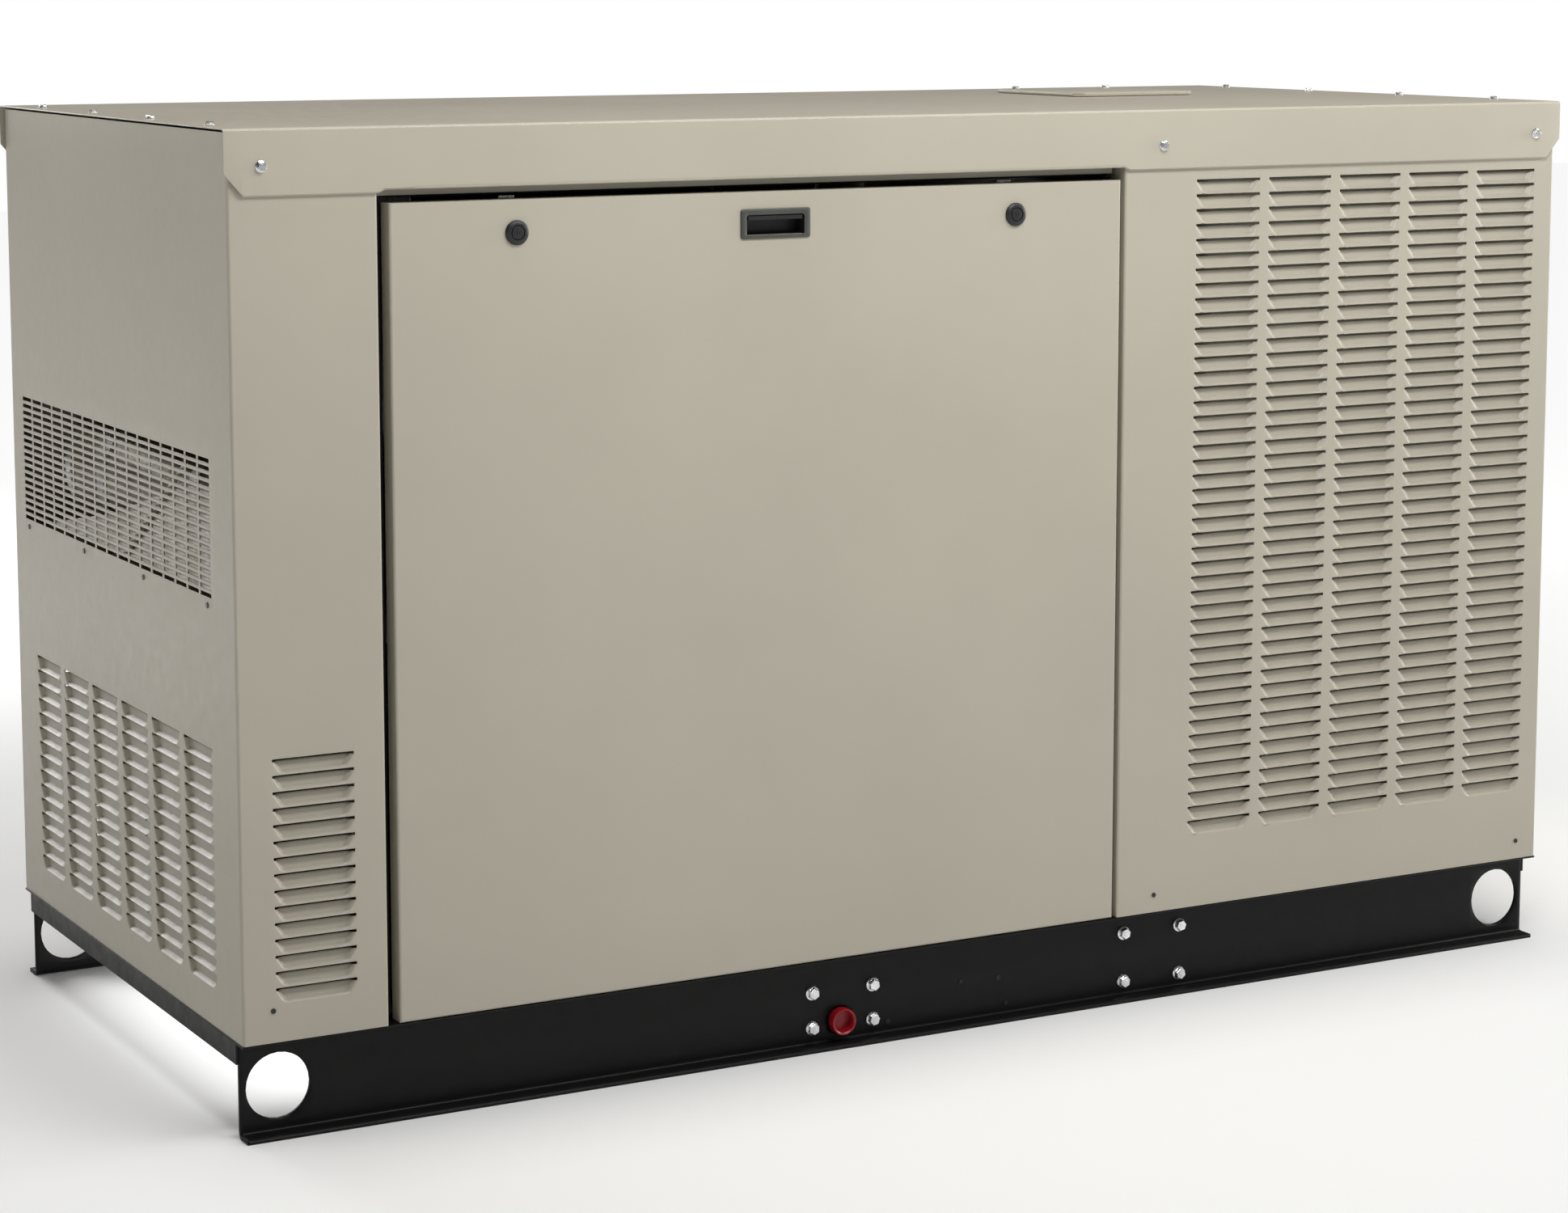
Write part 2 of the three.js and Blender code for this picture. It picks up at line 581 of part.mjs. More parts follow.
/** The belt's loop round the three pulleys. */
function driveBelt() {
  const loop = (clearance) => convexOutline([
    ...circlePoints(0, 0, CRANK_PULLEY_RADIUS + clearance),
    ...circlePoints(0, PUMP_Z, PUMP_PULLEY_RADIUS + clearance),
    ...circlePoints(CHARGER.y, CHARGER.z, CHARGER_PULLEY_RADIUS + clearance),
  ]);
  const [from, to] = [PULLEY.left + 2, PULLEY.left + PULLEY.width - 2];
  return cut(prism('x', loop(6), from, to), prism('x', loop(0.8), from - 1, to + 1));
}

/** Seven pitched blades on a hub. */
function coolingFan() {
  const hubLeft = PULLEY.left + PULLEY.width + GAP;
  const blades = Array.from({ length: 7 }, (_, i) => {
    const blade = new THREE.BoxGeometry(46, 3.5, FAN_RADIUS - 45);
    blade.rotateZ(Math.PI / 5).translate(0, 0, (FAN_RADIUS + 45) / 2);
    return blade.rotateX((2 * Math.PI * i) / 7).translate(hubLeft + 24, 0, PUMP_Z);
  });
  const hub = rod('x', 60, hubLeft + 6, hubLeft + 42, 0, PUMP_Z);
  const spacer = rod('x', 26, hubLeft, hubLeft + 8, 0, PUMP_Z, 12);
  return join(hub, spacer, ...blades);
}

/** The battery-charging alternator. */
function chargingAlternator() {
  const body = rod('x', CHARGER.radius, 75, 160, CHARGER.y, CHARGER.z);
  const nose = rod('x', 30, 55, 168, CHARGER.y, CHARGER.z, 16);
  const arm = block([100, CHARGER.y + 40, CHARGER.z - 15], [120, -95 - GAP, CHARGER.z + 15]);
  return join(body, nose, arm);
}

add(engine, 'crank_pulley', pulley(CRANK_PULLEY_RADIUS, 30, BLOCK.right + GAP, 0, 0), blackPaint);
add(engine, 'water_pump_pulley',
  pulley(PUMP_PULLEY_RADIUS, 20, PULLEY.left - 4 + GAP, 0, PUMP_Z), blackPaint);
add(engine, 'charging_alternator', chargingAlternator(), castAluminium);
add(engine, 'charging_pulley',
  pulley(CHARGER_PULLEY_RADIUS, 10, 168 + GAP, CHARGER.y, CHARGER.z), zinc);
add(engine, 'drive_belt', driveBelt(), blackRubber);
add(engine, 'cooling_fan', coolingFan(), blackPlastic);

// ---------------------------------------------------------------- alternator

/** A round frame, open towards the flywheel, with a bearing hole in its end wall and two feet. */
function alternatorFrame() {
  const { left, right, radius } = ALTERNATOR;
  const shell = turned([[40, left], [radius, left], [radius, right], [radius - 12, right],
    [radius - 12, left + 15], [40, left + 15], [40, left]]);
  const feet = [-1, 1].map((way) => block([left + 50, way * 105, -165], [left + 130, way * 200, -120]));
  return join(shell, ...feet.map((foot) => cut(foot, rod('x', radius - 2, left, right))));
}

/** Shaft, winding and fan, turned as one. */
function alternatorRotor() {
  const { left } = ALTERNATOR;
  return turned([[0, left - 8], [24, left - 8], [24, left + 60], [150, left + 60], [150, left + 260],
    [24, left + 260], [24, left + 310], [150, left + 310], [150, left + 330], [24, left + 330],
    [24, BLOCK.left - 1], [0, BLOCK.left - 1]]);
}

add(engine, 'alternator_frame', alternatorFrame(), castIron);
add(engine, 'alternator_rotor', alternatorRotor(), galvanised);

// ---------------------------------------------------------------- cooling

function radiator() {
  const { left, right, halfWidth, bottom, top } = RADIATOR;
  const core = block([left, -halfWidth, bottom - 1], [right, halfWidth, top + 1]);
  const topTank = block([left - 5, -halfWidth - 5, top], [right + 3, halfWidth + 5, top + 70]);
  const bottomTank = block([left - 5, -halfWidth - 5, SKID_HEIGHT + 20], [right + 3, halfWidth + 5, bottom]);
  const feet = [-1, 1].map((way) => block(
    [left, way * 200, SKID_HEIGHT + GAP], [right, way * 260, SKID_HEIGHT + 21]));
  return join(core, topTank, bottomTank, ...feet);
}

function fanShroud() {
  const { left, halfWidth, bottom, top, hole } = SHROUD;
  const outer = block([left, -halfWidth, bottom], [RADIATOR.left - GAP, halfWidth, top]);
  const inner = block([left + 3, -halfWidth + 3, bottom + 3], [RADIATOR.left + 5, halfWidth - 3, top - 3]);
  return cut(outer, inner, rod('x', hole, left - 5, left + 10, 0, CRANK_Z + PUMP_Z, 32));
}

function coolantTank() {
  const body = block([FILLER.x - 70, FILLER.y - 80, 951 + GAP], [FILLER.x + 70, FILLER.y + 80, 1080]);
  return join(body, rod('z', 22, 1079, 1105, FILLER.x, FILLER.y, 16));
}

const tankFace = RADIATOR.left - 5 - GAP;
const upperHose = [[BLOCK.right - 4.5, 60, 620], [BLOCK.right + 8, 60, 620], [178, 60, 655], [180, 60, 760],
  [192, 60, 832], [235, 60, 848], [tankFace, 60, 848]];
const lowerHose = [[161, 97.5, 505], [161, 140, 503], [161, 205, 450], [163, 245, 340], [168, 250, 230],
  [195, 250, 174], [245, 250, 168], [tankFace, 250, 168]];

add(part, 'radiator', radiator(), finMetal);
add(part, 'fan_shroud', fanShroud(), blackPlastic);
add(part, 'upper_hose', tube(upperHose, 20, 30), blackRubber);
add(part, 'lower_hose', tube(lowerHose, 20, 30), blackRubber);
add(part, 'coolant_tank', coolantTank(), milkyPlastic);
add(part, 'coolant_cap', rod('z', 28, 1105 + GAP, 1122, FILLER.x, FILLER.y, 16), blackPlastic);

// ---------------------------------------------------------------- exhaust

/** A drum across the alternator end, with an inlet towards the engine and an outlet towards the end. */
function muffler() {
  const { x, z, radius, halfLength } = MUFFLER;
  const drum = rod('y', radius, -halfLength + 12, halfLength - 12, x, z);
  const ends = [-1, 1].map((way) => rod('y', radius - 14, way * (halfLength - 13), way * halfLength, x, z));
  const inlet = rod('x', 22, x + radius - 12, x + radius + 8, EXHAUST_Y, z, 16);
  const outlet = rod('x', 30, x - radius - 18, x - radius + 12, -150, z, 16);
  return join(drum, ...ends, inlet, outlet);
}

const exhaustLine = [[BLOCK.left + 10 - GAP, 162, CRANK_Z + 281], [-285, 162, CRANK_Z + 281], [-345, 195, 655],
  [-395, 248, 684], [-450, EXHAUST_Y, MUFFLER.z], [-560, EXHAUST_Y, MUFFLER.z],
  [MUFFLER.x + MUFFLER.radius + 8 + GAP, EXHAUST_Y, MUFFLER.z]];

add(part, 'muffler', muffler(), hotSteel);
add(part, 'exhaust_pipe', tube(exhaustLine, EXHAUST_RADIUS, 28, 12), hotSteel);

// ---------------------------------------------------------------- fuel

/** A round diaphragm regulator on its back, with a pipe boss underneath. */
function fuelRegulator() {
  const body = rod('y', 62, -306, -290, -320, 480, 24);
  const back = rod('y', 40, -291, -245, -320, 480, 16);
  const boss = rod('z', 18, 405, 450, -320, -268, 12);
  return join(body, back, boss);
}

const fuelLine = [[FUEL_INLET.x, -380, FUEL_INLET.z], [FUEL_INLET.x, -345, 31],
  [FUEL_INLET.x, FUEL_PIPE_Y - 4, 52], [FUEL_INLET.x, FUEL_PIPE_Y, 90], [FUEL_INLET.x, FUEL_PIPE_Y, 200],
  [FUEL_INLET.x - 20, FUEL_PIPE_Y + 4, 265], [-235, -290, 300], [-308, -271, 330],
  [-320, -268, 375], [-320, -268, 404.5]];

add(part, 'fuel_regulator', fuelRegulator(), castAluminium);
add(part, 'fuel_pipe', tube(fuelLine, FUEL_PIPE_RADIUS, 36), blackPaint);

// ---------------------------------------------------------------- electrical

/** The connection box over the alternator, with the line breaker standing out of its front. */
function junctionBox() {
  const { left, right, halfWidth, bottom, top } = BOX;
  const shell = block([left, -halfWidth, bottom], [right, halfWidth, top]);
  const breaker = block(
    [BREAKER.x - BREAKER.width / 2, -halfWidth - BREAKER.depth, BREAKER.z - BREAKER.height / 2],
    [BREAKER.x + BREAKER.width / 2, -halfWidth + 1, BREAKER.z + BREAKER.height / 2],
  );
  const stopHole = rod('y', 11, -halfWidth - 5, -halfWidth + 16, STOP_BUTTON.x, STOP_BUTTON.z, 12);
  return cut(join(shell, breaker), stopHole);
}

/** The breaker's toggle, on its pivot, leaning up at "on". */
function breakerHandle() {
  const hub = rod('x', 5, -9, 9, 0, 0, 12);
  const lever = new THREE.BoxGeometry(14, 26, 8).translate(0, -14, 0).rotateX(-Math.PI / 9);
  return join(hub, lever);
}

/** The controller's housing, with its face leaning back. */
function controller() {
  const y = -BOX.halfWidth;
  const z = BOX.top + GAP;
  const section = [[y, z], [y + 120, z], [y + 120, z + 165], [y + 35, z + 165], [y, z + 20]];
  return prism('x', section, BOX.left + 15, BOX.right - 15);
}

function stopButton() {
  const mushroom = rod('y', 20, -36, -24, 0, 0, 16);
  const stem = rod('y', 10, -25, 5, 0, 0, 12);
  return join(mushroom, stem);
}

/** Battery case with its two terminal posts. */
function battery() {
  const caseBlock = block([-40, -368, SKID_HEIGHT + 7], [215, -195, SKID_HEIGHT + 220]);
  const posts = [-10, 185].map((x) => rod('z', 9, SKID_HEIGHT + 219, SKID_HEIGHT + 236, x, -225, 12));
  return join(caseBlock, ...posts);
}

add(part, 'junction_box', junctionBox(), beigePaint);
add(part, 'controller', controller(), blackPlastic);
add(groupAt(BREAKER.x, -BOX.halfWidth - BREAKER.depth - 6, BREAKER.z), 'breaker_handle',
  breakerHandle(), blackPlastic);
add(groupAt(STOP_BUTTON.x, -BOX.halfWidth, STOP_BUTTON.z), 'emergency_stop_button',
  stopButton(), redPlastic);
add(part, 'battery', battery(), blackPlastic);

export default part;
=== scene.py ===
"""The look of a home standby generator: louvred sheet-metal enclosure on a formed-steel skid.

Metres, origin on the ground under the middle, +X from the alternator end to the radiator end,
+Y from the front door to the rear door, +Z up.
"""

import math
import random

import bmesh
import bpy
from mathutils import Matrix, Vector


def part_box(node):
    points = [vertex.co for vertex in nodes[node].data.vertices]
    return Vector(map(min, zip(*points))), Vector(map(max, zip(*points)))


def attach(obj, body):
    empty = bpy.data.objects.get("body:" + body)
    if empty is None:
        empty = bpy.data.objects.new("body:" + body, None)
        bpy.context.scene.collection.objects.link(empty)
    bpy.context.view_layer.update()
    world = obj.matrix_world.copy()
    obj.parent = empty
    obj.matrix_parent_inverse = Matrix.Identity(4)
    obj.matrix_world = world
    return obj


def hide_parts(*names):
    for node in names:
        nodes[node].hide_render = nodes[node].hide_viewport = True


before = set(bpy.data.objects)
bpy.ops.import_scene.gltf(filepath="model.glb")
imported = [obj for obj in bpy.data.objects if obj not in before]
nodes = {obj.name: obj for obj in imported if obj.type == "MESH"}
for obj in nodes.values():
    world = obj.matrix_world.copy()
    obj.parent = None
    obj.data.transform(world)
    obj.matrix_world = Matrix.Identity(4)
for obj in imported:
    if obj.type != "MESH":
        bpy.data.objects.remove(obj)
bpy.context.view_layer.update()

MM = 0.001
ROOT = "enclosure"  # the body that stands still
FRONT, REAR = -1, 1
SIDES = (("front", FRONT), ("rear", REAR))
rng = random.Random(7)

# ------------------------------------------------------------------ driving dimensions, in millimetres

HALF_LENGTH = 935.0
HALF_WIDTH = 413.0
SHEET = 1.6
PANEL_BOTTOM, PANEL_TOP = 115.3, 1143.5
BEND = 3.0  # outside radius of a bend in the sheet
BREAK = 60.0  # a flat sheet is broken into cells no wider than this
OPENING = (-758.5, 246.0)  # along x, between the turned-in stops of the two panels
STOP = {"flange": 36.5, "lip": 18.0}
DOOR = (-744.5, 239.5, 116.0, 1063.8)  # x from and to, z from and to
DOOR_DEPTH = 25.0
DOOR_CENTRE = (DOOR[0] + DOOR[1]) / 2
DOOR_RETURN = 13.0
HARDWARE_Z = 1022.8
LATCH_SPREAD = 336.0
PULL_CUT = (42.0, 13.0)  # half width and half height of the hole behind the pull
FOAM_WEDGE = {"step": 23.0, "cells": 4, "deep": 8.0, "margin": 12.0}
SEAL = {"radius": 6.5, "low": 124.0, "high": 1072.0, "y": 380.0, "inset": 9.0}
ROOF = {"x": 940.0, "y": 418.0, "top": 1148.0, "bottom": 1073.0, "chamfer": 25.5, "cut": 22.0, "bend": 3.5,
        "hem_rise": 3.5}
ROOF_HOLE = (490.0, 640.0, 60.0, 218.0)  # x from and to, y from and to, under the access cover

LOUVRE = {"pitch": 18.85, "width": 100.0, "deep": 7.2, "slit": 3.4, "lip": 0.9, "end": 8.2, "taper": 9.0,
          "border": 0.8, "knee": 0.72, "rise": 0.36}
LOUVRE_TALL = LOUVRE["pitch"] - LOUVRE["slit"] - LOUVRE["lip"]
LOUVRE_SIDES = (0.0, LOUVRE["border"], 2.4, 4.9, 7.4, LOUVRE["border"] + LOUVRE["end"], 26.0)
LOUVRE_DOWNS = (0.0, 2.4, 4.8, 7.2, 9.4, 10.5, 11.2, 12.6, 13.9, LOUVRE_TALL)
TALL_BANK = {"first": 353.7, "step": 112.6, "columns": 5, "rows": 45, "top": 1058.6}
CORNER_BANK = {"first": -896.0, "step": 112.6, "columns": 1, "rows": 15, "top": 442.0}
END_BANK = {"first": -330.0, "step": 112.6, "columns": 6, "rows": 15, "top": 442.0}
GRILLE = {"first": -339.0, "last": 370.0, "columns": 17, "rows": 18, "bottom": 619.0, "top": 773.0,
          "slot": 36.5, "height": 5.0}

RAIL = {"web": 389.0, "foot": 413.0, "plate": 5.0, "top": 112.0, "in": 345.0, "x": 932.5, "inner": 3.5,
        "outer": 5.0}
LIFTING = {"x": 886.0, "z": 57.5, "radius": 39.0, "patch": 43.0}
INLET = {"x": -149.0, "z": 30.0, "radius": 16.0, "patch": 20.0}
PATCH_CELLS = 8

CRANK_Z = 340.0
ALTERNATOR_RADIUS = 175.0
CLEANER = (-162.0, 850.0)  # y and z of the air cleaner's axis
REGULATOR = (-320.0, 480.0)  # x and z of the fuel regulator's middle
CHARGER = (-185.0, 520.0)  # y and z of the charging alternator's axis
MUFFLER = (-818.0, 690.0)  # x and z of the muffler's axis
BATTERY_TOP = 345.0

COVER_TOP = 1153.8
END_SCREWS, END_SCREWS_Z = (352, 124, -101, -323), 607.0  # along y under the grille, mirrored at the other end

NEAR_ZERO = 1e-6
EIGHTHS = (math.pi / 8, math.pi / 4, 3 * math.pi / 8, math.pi / 2)  # angles along a quarter bend

# ------------------------------------------------------------------ materials


class Shade:
    """A Principled material with helpers that wire procedural detail into it."""

    def __init__(self, name, color, rough, metal=0.0, **sockets):
        self.mat = bpy.data.materials.new(name)
        self.mat.use_nodes = True
        self.tree = self.mat.node_tree
        self.bsdf = self.tree.nodes["Principled BSDF"]
        self.name, self.color = name, color
        self.set("Base Color", (*color, 1))
        self.set("Roughness", rough)
        self.set("Metallic", metal)
        for key, value in sockets.items():
            self.set(key.replace("_", " "), value)
        self.coord = self.tree.nodes.new("ShaderNodeTexCoord")
        self.normal = None

    def set(self, socket, value):
        self.bsdf.inputs[socket].default_value = value

    def node(self, kind, **values):
        made = self.tree.nodes.new(kind)
        for key, value in values.items():
            if key in made.inputs:
                made.inputs[key].default_value = value
            else:
                setattr(made, key, value)
        return made

    def link(self, a, b):
        self.tree.links.new(a, b)

    def scaled(self, scale):
        if isinstance(scale, (int, float)):
            return self.coord.outputs["Object"]
        mapping = self.node("ShaderNodeMapping")
        mapping.inputs["Scale"].default_value = scale
        self.link(self.coord.outputs["Object"], mapping.inputs["Vector"])
        return mapping.outputs["Vector"]

    def noise(self, scale, detail=3.0, roughness=0.5, low=0.0, high=1.0):
        """Noise in object space, spread from low to high; three scales stretch it."""
        made = self.node("ShaderNodeTexNoise", Detail=detail, Roughness=roughness)
        made.inputs["Scale"].default_value = scale if isinstance(scale, (int, float)) else 1.0
        self.link(self.scaled(scale), made.inputs["Vector"])
        return self.spread(made.outputs["Fac"], 0.3, 0.7, low, high)

    def spread(self, value, from_low, from_high, low, high):
        made = self.node("ShaderNodeMapRange")
        self.link(value, made.inputs["Value"])
        limits = {"From Min": from_low, "From Max": from_high, "To Min": low, "To Max": high}
        for key, number in limits.items():
            made.inputs[key].default_value = number
        return made.outputs["Result"]

    def tint(self, factor, low, high):
        """Base colour runs between two colours as factor goes from 0 to 1."""
        ramp = self.node("ShaderNodeValToRGB")
        ramp.color_ramp.elements[0].color = (*low, 1)
        ramp.color_ramp.elements[1].color = (*high, 1)
        self.link(factor, ramp.inputs["Fac"])
        self.link(ramp.outputs["Color"], self.bsdf.inputs["Base Color"])
        return self

    def over(self, factor, color):
        """Lays another colour over what the base colour is so far, where factor is 1."""
        mix = self.node("ShaderNodeMix", data_type="RGBA")
        source = self.bsdf.inputs["Base Color"]
        if source.is_linked:
            self.link(source.links[0].from_socket, mix.inputs["A"])
        else:
            mix.inputs["A"].default_value = (*self.color, 1)
        mix.inputs["B"].default_value = (*color, 1)
        self.link(factor, mix.inputs["Factor"])
        self.link(mix.outputs["Result"], source)
        return self

    def gloss(self, factor):
        self.link(factor, self.bsdf.inputs["Roughness"])
        return self

    def bump(self, height, distance, strength=1.0):
        made = self.node("ShaderNodeBump", Strength=strength, Distance=distance)
        self.link(height, made.inputs["Height"])
        if self.normal is not None:
            self.link(self.normal, made.inputs["Normal"])
        self.normal = made.outputs["Normal"]
        self.link(self.normal, self.bsdf.inputs["Normal"])
        return self


def mixed(color, amount):
    """A colour made lighter, or darker with an amount below one."""
    return tuple(min(c * amount, 1.0) for c in color)


def powder_coat(name, color, rough, grain=900.0, bump=0.00006):
    """Satin powder coat: orange-peel, faint mottling and slightly uneven gloss."""
    s = Shade(name, color, rough)
    s.tint(s.noise(3.5, 4.0), mixed(color, 0.965), mixed(color, 1.035))
    s.gloss(s.noise(60.0, 4.0, 0.6, rough - 0.05, rough + 0.06))
    s.bump(s.noise(grain, 2.0), bump, 0.55)
    s.bump(s.noise(9.0, 2.0), 0.0012, 0.05)
    return s


def plated(name, color, rough, streak=(40.0, 40.0, 700.0)):
    """Zinc or galvanised steel: metal with cloudy spangle and fine rolling streaks."""
    s = Shade(name, color, rough, 1.0)
    s.tint(s.noise(120.0, 3.0), mixed(color, 0.82), mixed(color, 1.1))
    s.gloss(s.noise(90.0, 3.0, 0.5, rough - 0.07, rough + 0.1))
    s.bump(s.noise(streak, 3.0), 0.00008, 0.3)
    return s


def cast(name, color, rough, metal):
    """Sand-cast metal: coarse grain with soft pits and oily patches."""
    s = Shade(name, color, rough, metal)
    s.tint(s.noise(14.0, 5.0), mixed(color, 0.72), mixed(color, 1.18))
    s.gloss(s.noise(30.0, 5.0, 0.6, rough - 0.14, rough + 0.12))
    s.bump(s.noise(420.0, 4.0, 0.65), 0.0004, 0.55)
    return s


def moulded(name, color, rough, grain=1400.0):
    """Moulded plastic or rubber with a fine leathery grain."""
    s = Shade(name, color, rough)
    s.tint(s.noise(20.0, 3.0), mixed(color, 0.85), mixed(color, 1.2))
    s.gloss(s.noise(160.0, 4.0, 0.6, rough - 0.07, rough + 0.08))
    s.bump(s.noise(grain, 2.0), 0.00008, 0.5)
    return s


BEIGE = (0.482, 0.447, 0.366)
beige = powder_coat("beige_powder_coat", BEIGE, 0.35)
beige.set("Specular IOR Level", 0.42)
black_paint = powder_coat("black_powder_coat", (0.0040, 0.0040, 0.0042), 0.42, 700.0, 0.00008)
black_paint.set("Specular IOR Level", 0.22)
zinc = plated("bright_zinc", (0.78, 0.79, 0.80), 0.24)
galvanised = plated("galvanised_sheet", (0.58, 0.60, 0.61), 0.36)
galvanised.over(galvanised.noise((34.0, 34.0, 34.0), 1.0, 0.5, -0.2, 0.6), (0.44, 0.46, 0.48))
aluminised = plated("aluminised_steel", (0.62, 0.60, 0.56), 0.34)
aluminised.over(aluminised.noise(11.0, 4.0, 0.6, -0.5, 0.75), (0.30, 0.23, 0.155))
cast_iron = cast("cast_iron_enamel", (0.045, 0.047, 0.05), 0.5, 0.1)
cast_aluminium = cast("cast_aluminium", (0.46, 0.465, 0.47), 0.42, 0.9)
black_plastic = moulded("black_plastic", (0.011, 0.011, 0.012), 0.42)
grey_plastic = moulded("grey_green_plastic", (0.058, 0.060, 0.050), 0.5)
red_plastic = moulded("red_plastic", (0.30, 0.006, 0.012), 0.34, 700.0)
rubber = moulded("black_rubber", (0.012, 0.012, 0.012), 0.68, 600.0)
milky = moulded("milky_plastic", (0.66, 0.66, 0.58), 0.38, 400.0)
milky.set("Subsurface Weight", 0.25)
milky.set("Subsurface Radius", (0.01, 0.01, 0.008))
yellow_enamel = powder_coat("yellow_enamel", (0.62, 0.36, 0.02), 0.3, 500.0)
fins = plated("radiator_black", (0.02, 0.02, 0.022), 0.5)
fins.set("Metallic", 0.2)
dark_steel = plated("dark_steel", (0.18, 0.18, 0.185), 0.42)
copper = plated("copper", (0.75, 0.36, 0.20), 0.35)
screen_glass = moulded("display_glass", (0.02, 0.05, 0.045), 0.12, 200.0)
green_lens = moulded("green_lens", (0.02, 0.35, 0.06), 0.2, 300.0)
amber_lens = moulded("amber_lens", (0.55, 0.22, 0.01), 0.2, 300.0)
red_rubber = moulded("red_rubber", (0.33, 0.012, 0.012), 0.5, 500.0)

foam = Shade("acoustic_foam", (0.022, 0.022, 0.024), 0.92)
foam.tint(foam.noise(35.0, 5.0), (0.014, 0.014, 0.015), (0.036, 0.036, 0.038))
foam.bump(foam.noise(1100.0, 4.0, 0.8), 0.0007, 0.8)

# ------------------------------------------------------------------ mesh helpers


def quads(wide, tall, left_out=None):
    """The faces of a grid of wide by tall points, row by row, without the cells that left_out picks."""
    return [(j * wide + i, j * wide + i + 1, (j + 1) * wide + i + 1, (j + 1) * wide + i)
            for j in range(tall - 1) for i in range(wide - 1) if not (left_out and left_out(i, j))]


def grid_rim(wide, tall):
    """The points round the edge of such a grid, once round."""
    rim = list(range(wide)) + [j * wide + wide - 1 for j in range(1, tall)]
    rim += [(tall - 1) * wide + i for i in range(wide - 2, -1, -1)]
    return rim + [j * wide for j in range(tall - 2, 0, -1)]


def band(first, second):
    """Faces between two closed rings of points."""
    turned = [first[1:] + first[:1], second[1:] + second[:1]]
    return list(zip(first, second, turned[1], turned[0]))


def piece(name, body, verts, faces, shade, stands_for=(), smooth=40.0, bevel=0.0, segments=2, extra=(),
          slots=None, solid=0.0, facing=None):
    """A mesh piece in millimetres that rides on a body. slots gives each face's material, as an index.

    An open sheet gets its thickness from solid, behind the side on which its first face points to facing.
    """
    mesh = bpy.data.meshes.new(name)
    mesh.from_pydata([(x * MM, y * MM, z * MM) for x, y, z in verts], [], faces)
    mesh.validate()
    for material in (shade, *extra):
        mesh.materials.append(material.mat)
    if slots and len(slots) == len(mesh.polygons):
        mesh.polygons.foreach_set("material_index", slots)
    if facing:
        aligned(mesh, facing)
    mesh.polygons.foreach_set("use_smooth", [True] * len(mesh.polygons))
    mesh.set_sharp_from_angle(angle=math.radians(smooth))
    obj = bpy.data.objects.new(name, mesh)
    bpy.context.scene.collection.objects.link(obj)
    if solid:
        thick = obj.modifiers.new("sheet", "SOLIDIFY")
        thick.thickness = solid * MM
        thick.offset = -1.0
        even = obj.modifiers.new("flats", "WEIGHTED_NORMAL")
        even.keep_sharp = True
        even.weight = 90
    if bevel:
        rounded(obj, bevel, segments)
    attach(obj, body)
    if stands_for:
        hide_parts(*stands_for)
    return obj


def aligned(mesh, facing):
    """Makes the faces of an open sheet agree, with the first one pointing towards facing."""
    bm = bmesh.new()
    bm.from_mesh(mesh)
    bmesh.ops.recalc_face_normals(bm, faces=bm.faces)
    bm.faces.ensure_lookup_table()
    if bm.faces[0].normal.dot(Vector(facing)) < 0:
        bmesh.ops.reverse_faces(bm, faces=bm.faces)
    bm.to_mesh(mesh)
    bm.free()


def rounded(obj, width, segments=2):
    made = obj.modifiers.new("edges", "BEVEL")
    made.width = width * MM
    made.segments = segments
    made.limit_method = "ANGLE"
    made.angle_limit = math.radians(35)
    made.harden_normals = True
    made.use_clamp_overlap = True


def dress(name, shade, bevel=0.0, segments=2):
    """Gives a carried-over CAD node its material and rounded edges."""
    obj = nodes[name]
    obj.data.materials.clear()
    obj.data.materials.append(shade.mat)
    obj.data.polygons.foreach_set("use_smooth", [True] * len(obj.data.polygons))
    weld = obj.modifiers.new("weld", "WELD")
    weld.merge_threshold = 0.00001
    if bevel:
        rounded(obj, bevel, segments)
    return obj


BOX_FACES = ((3, 2, 1, 0), (4, 5, 6, 7), (0, 1, 5, 4), (1, 2, 6, 5), (2, 3, 7, 6), (3, 0, 4, 7))


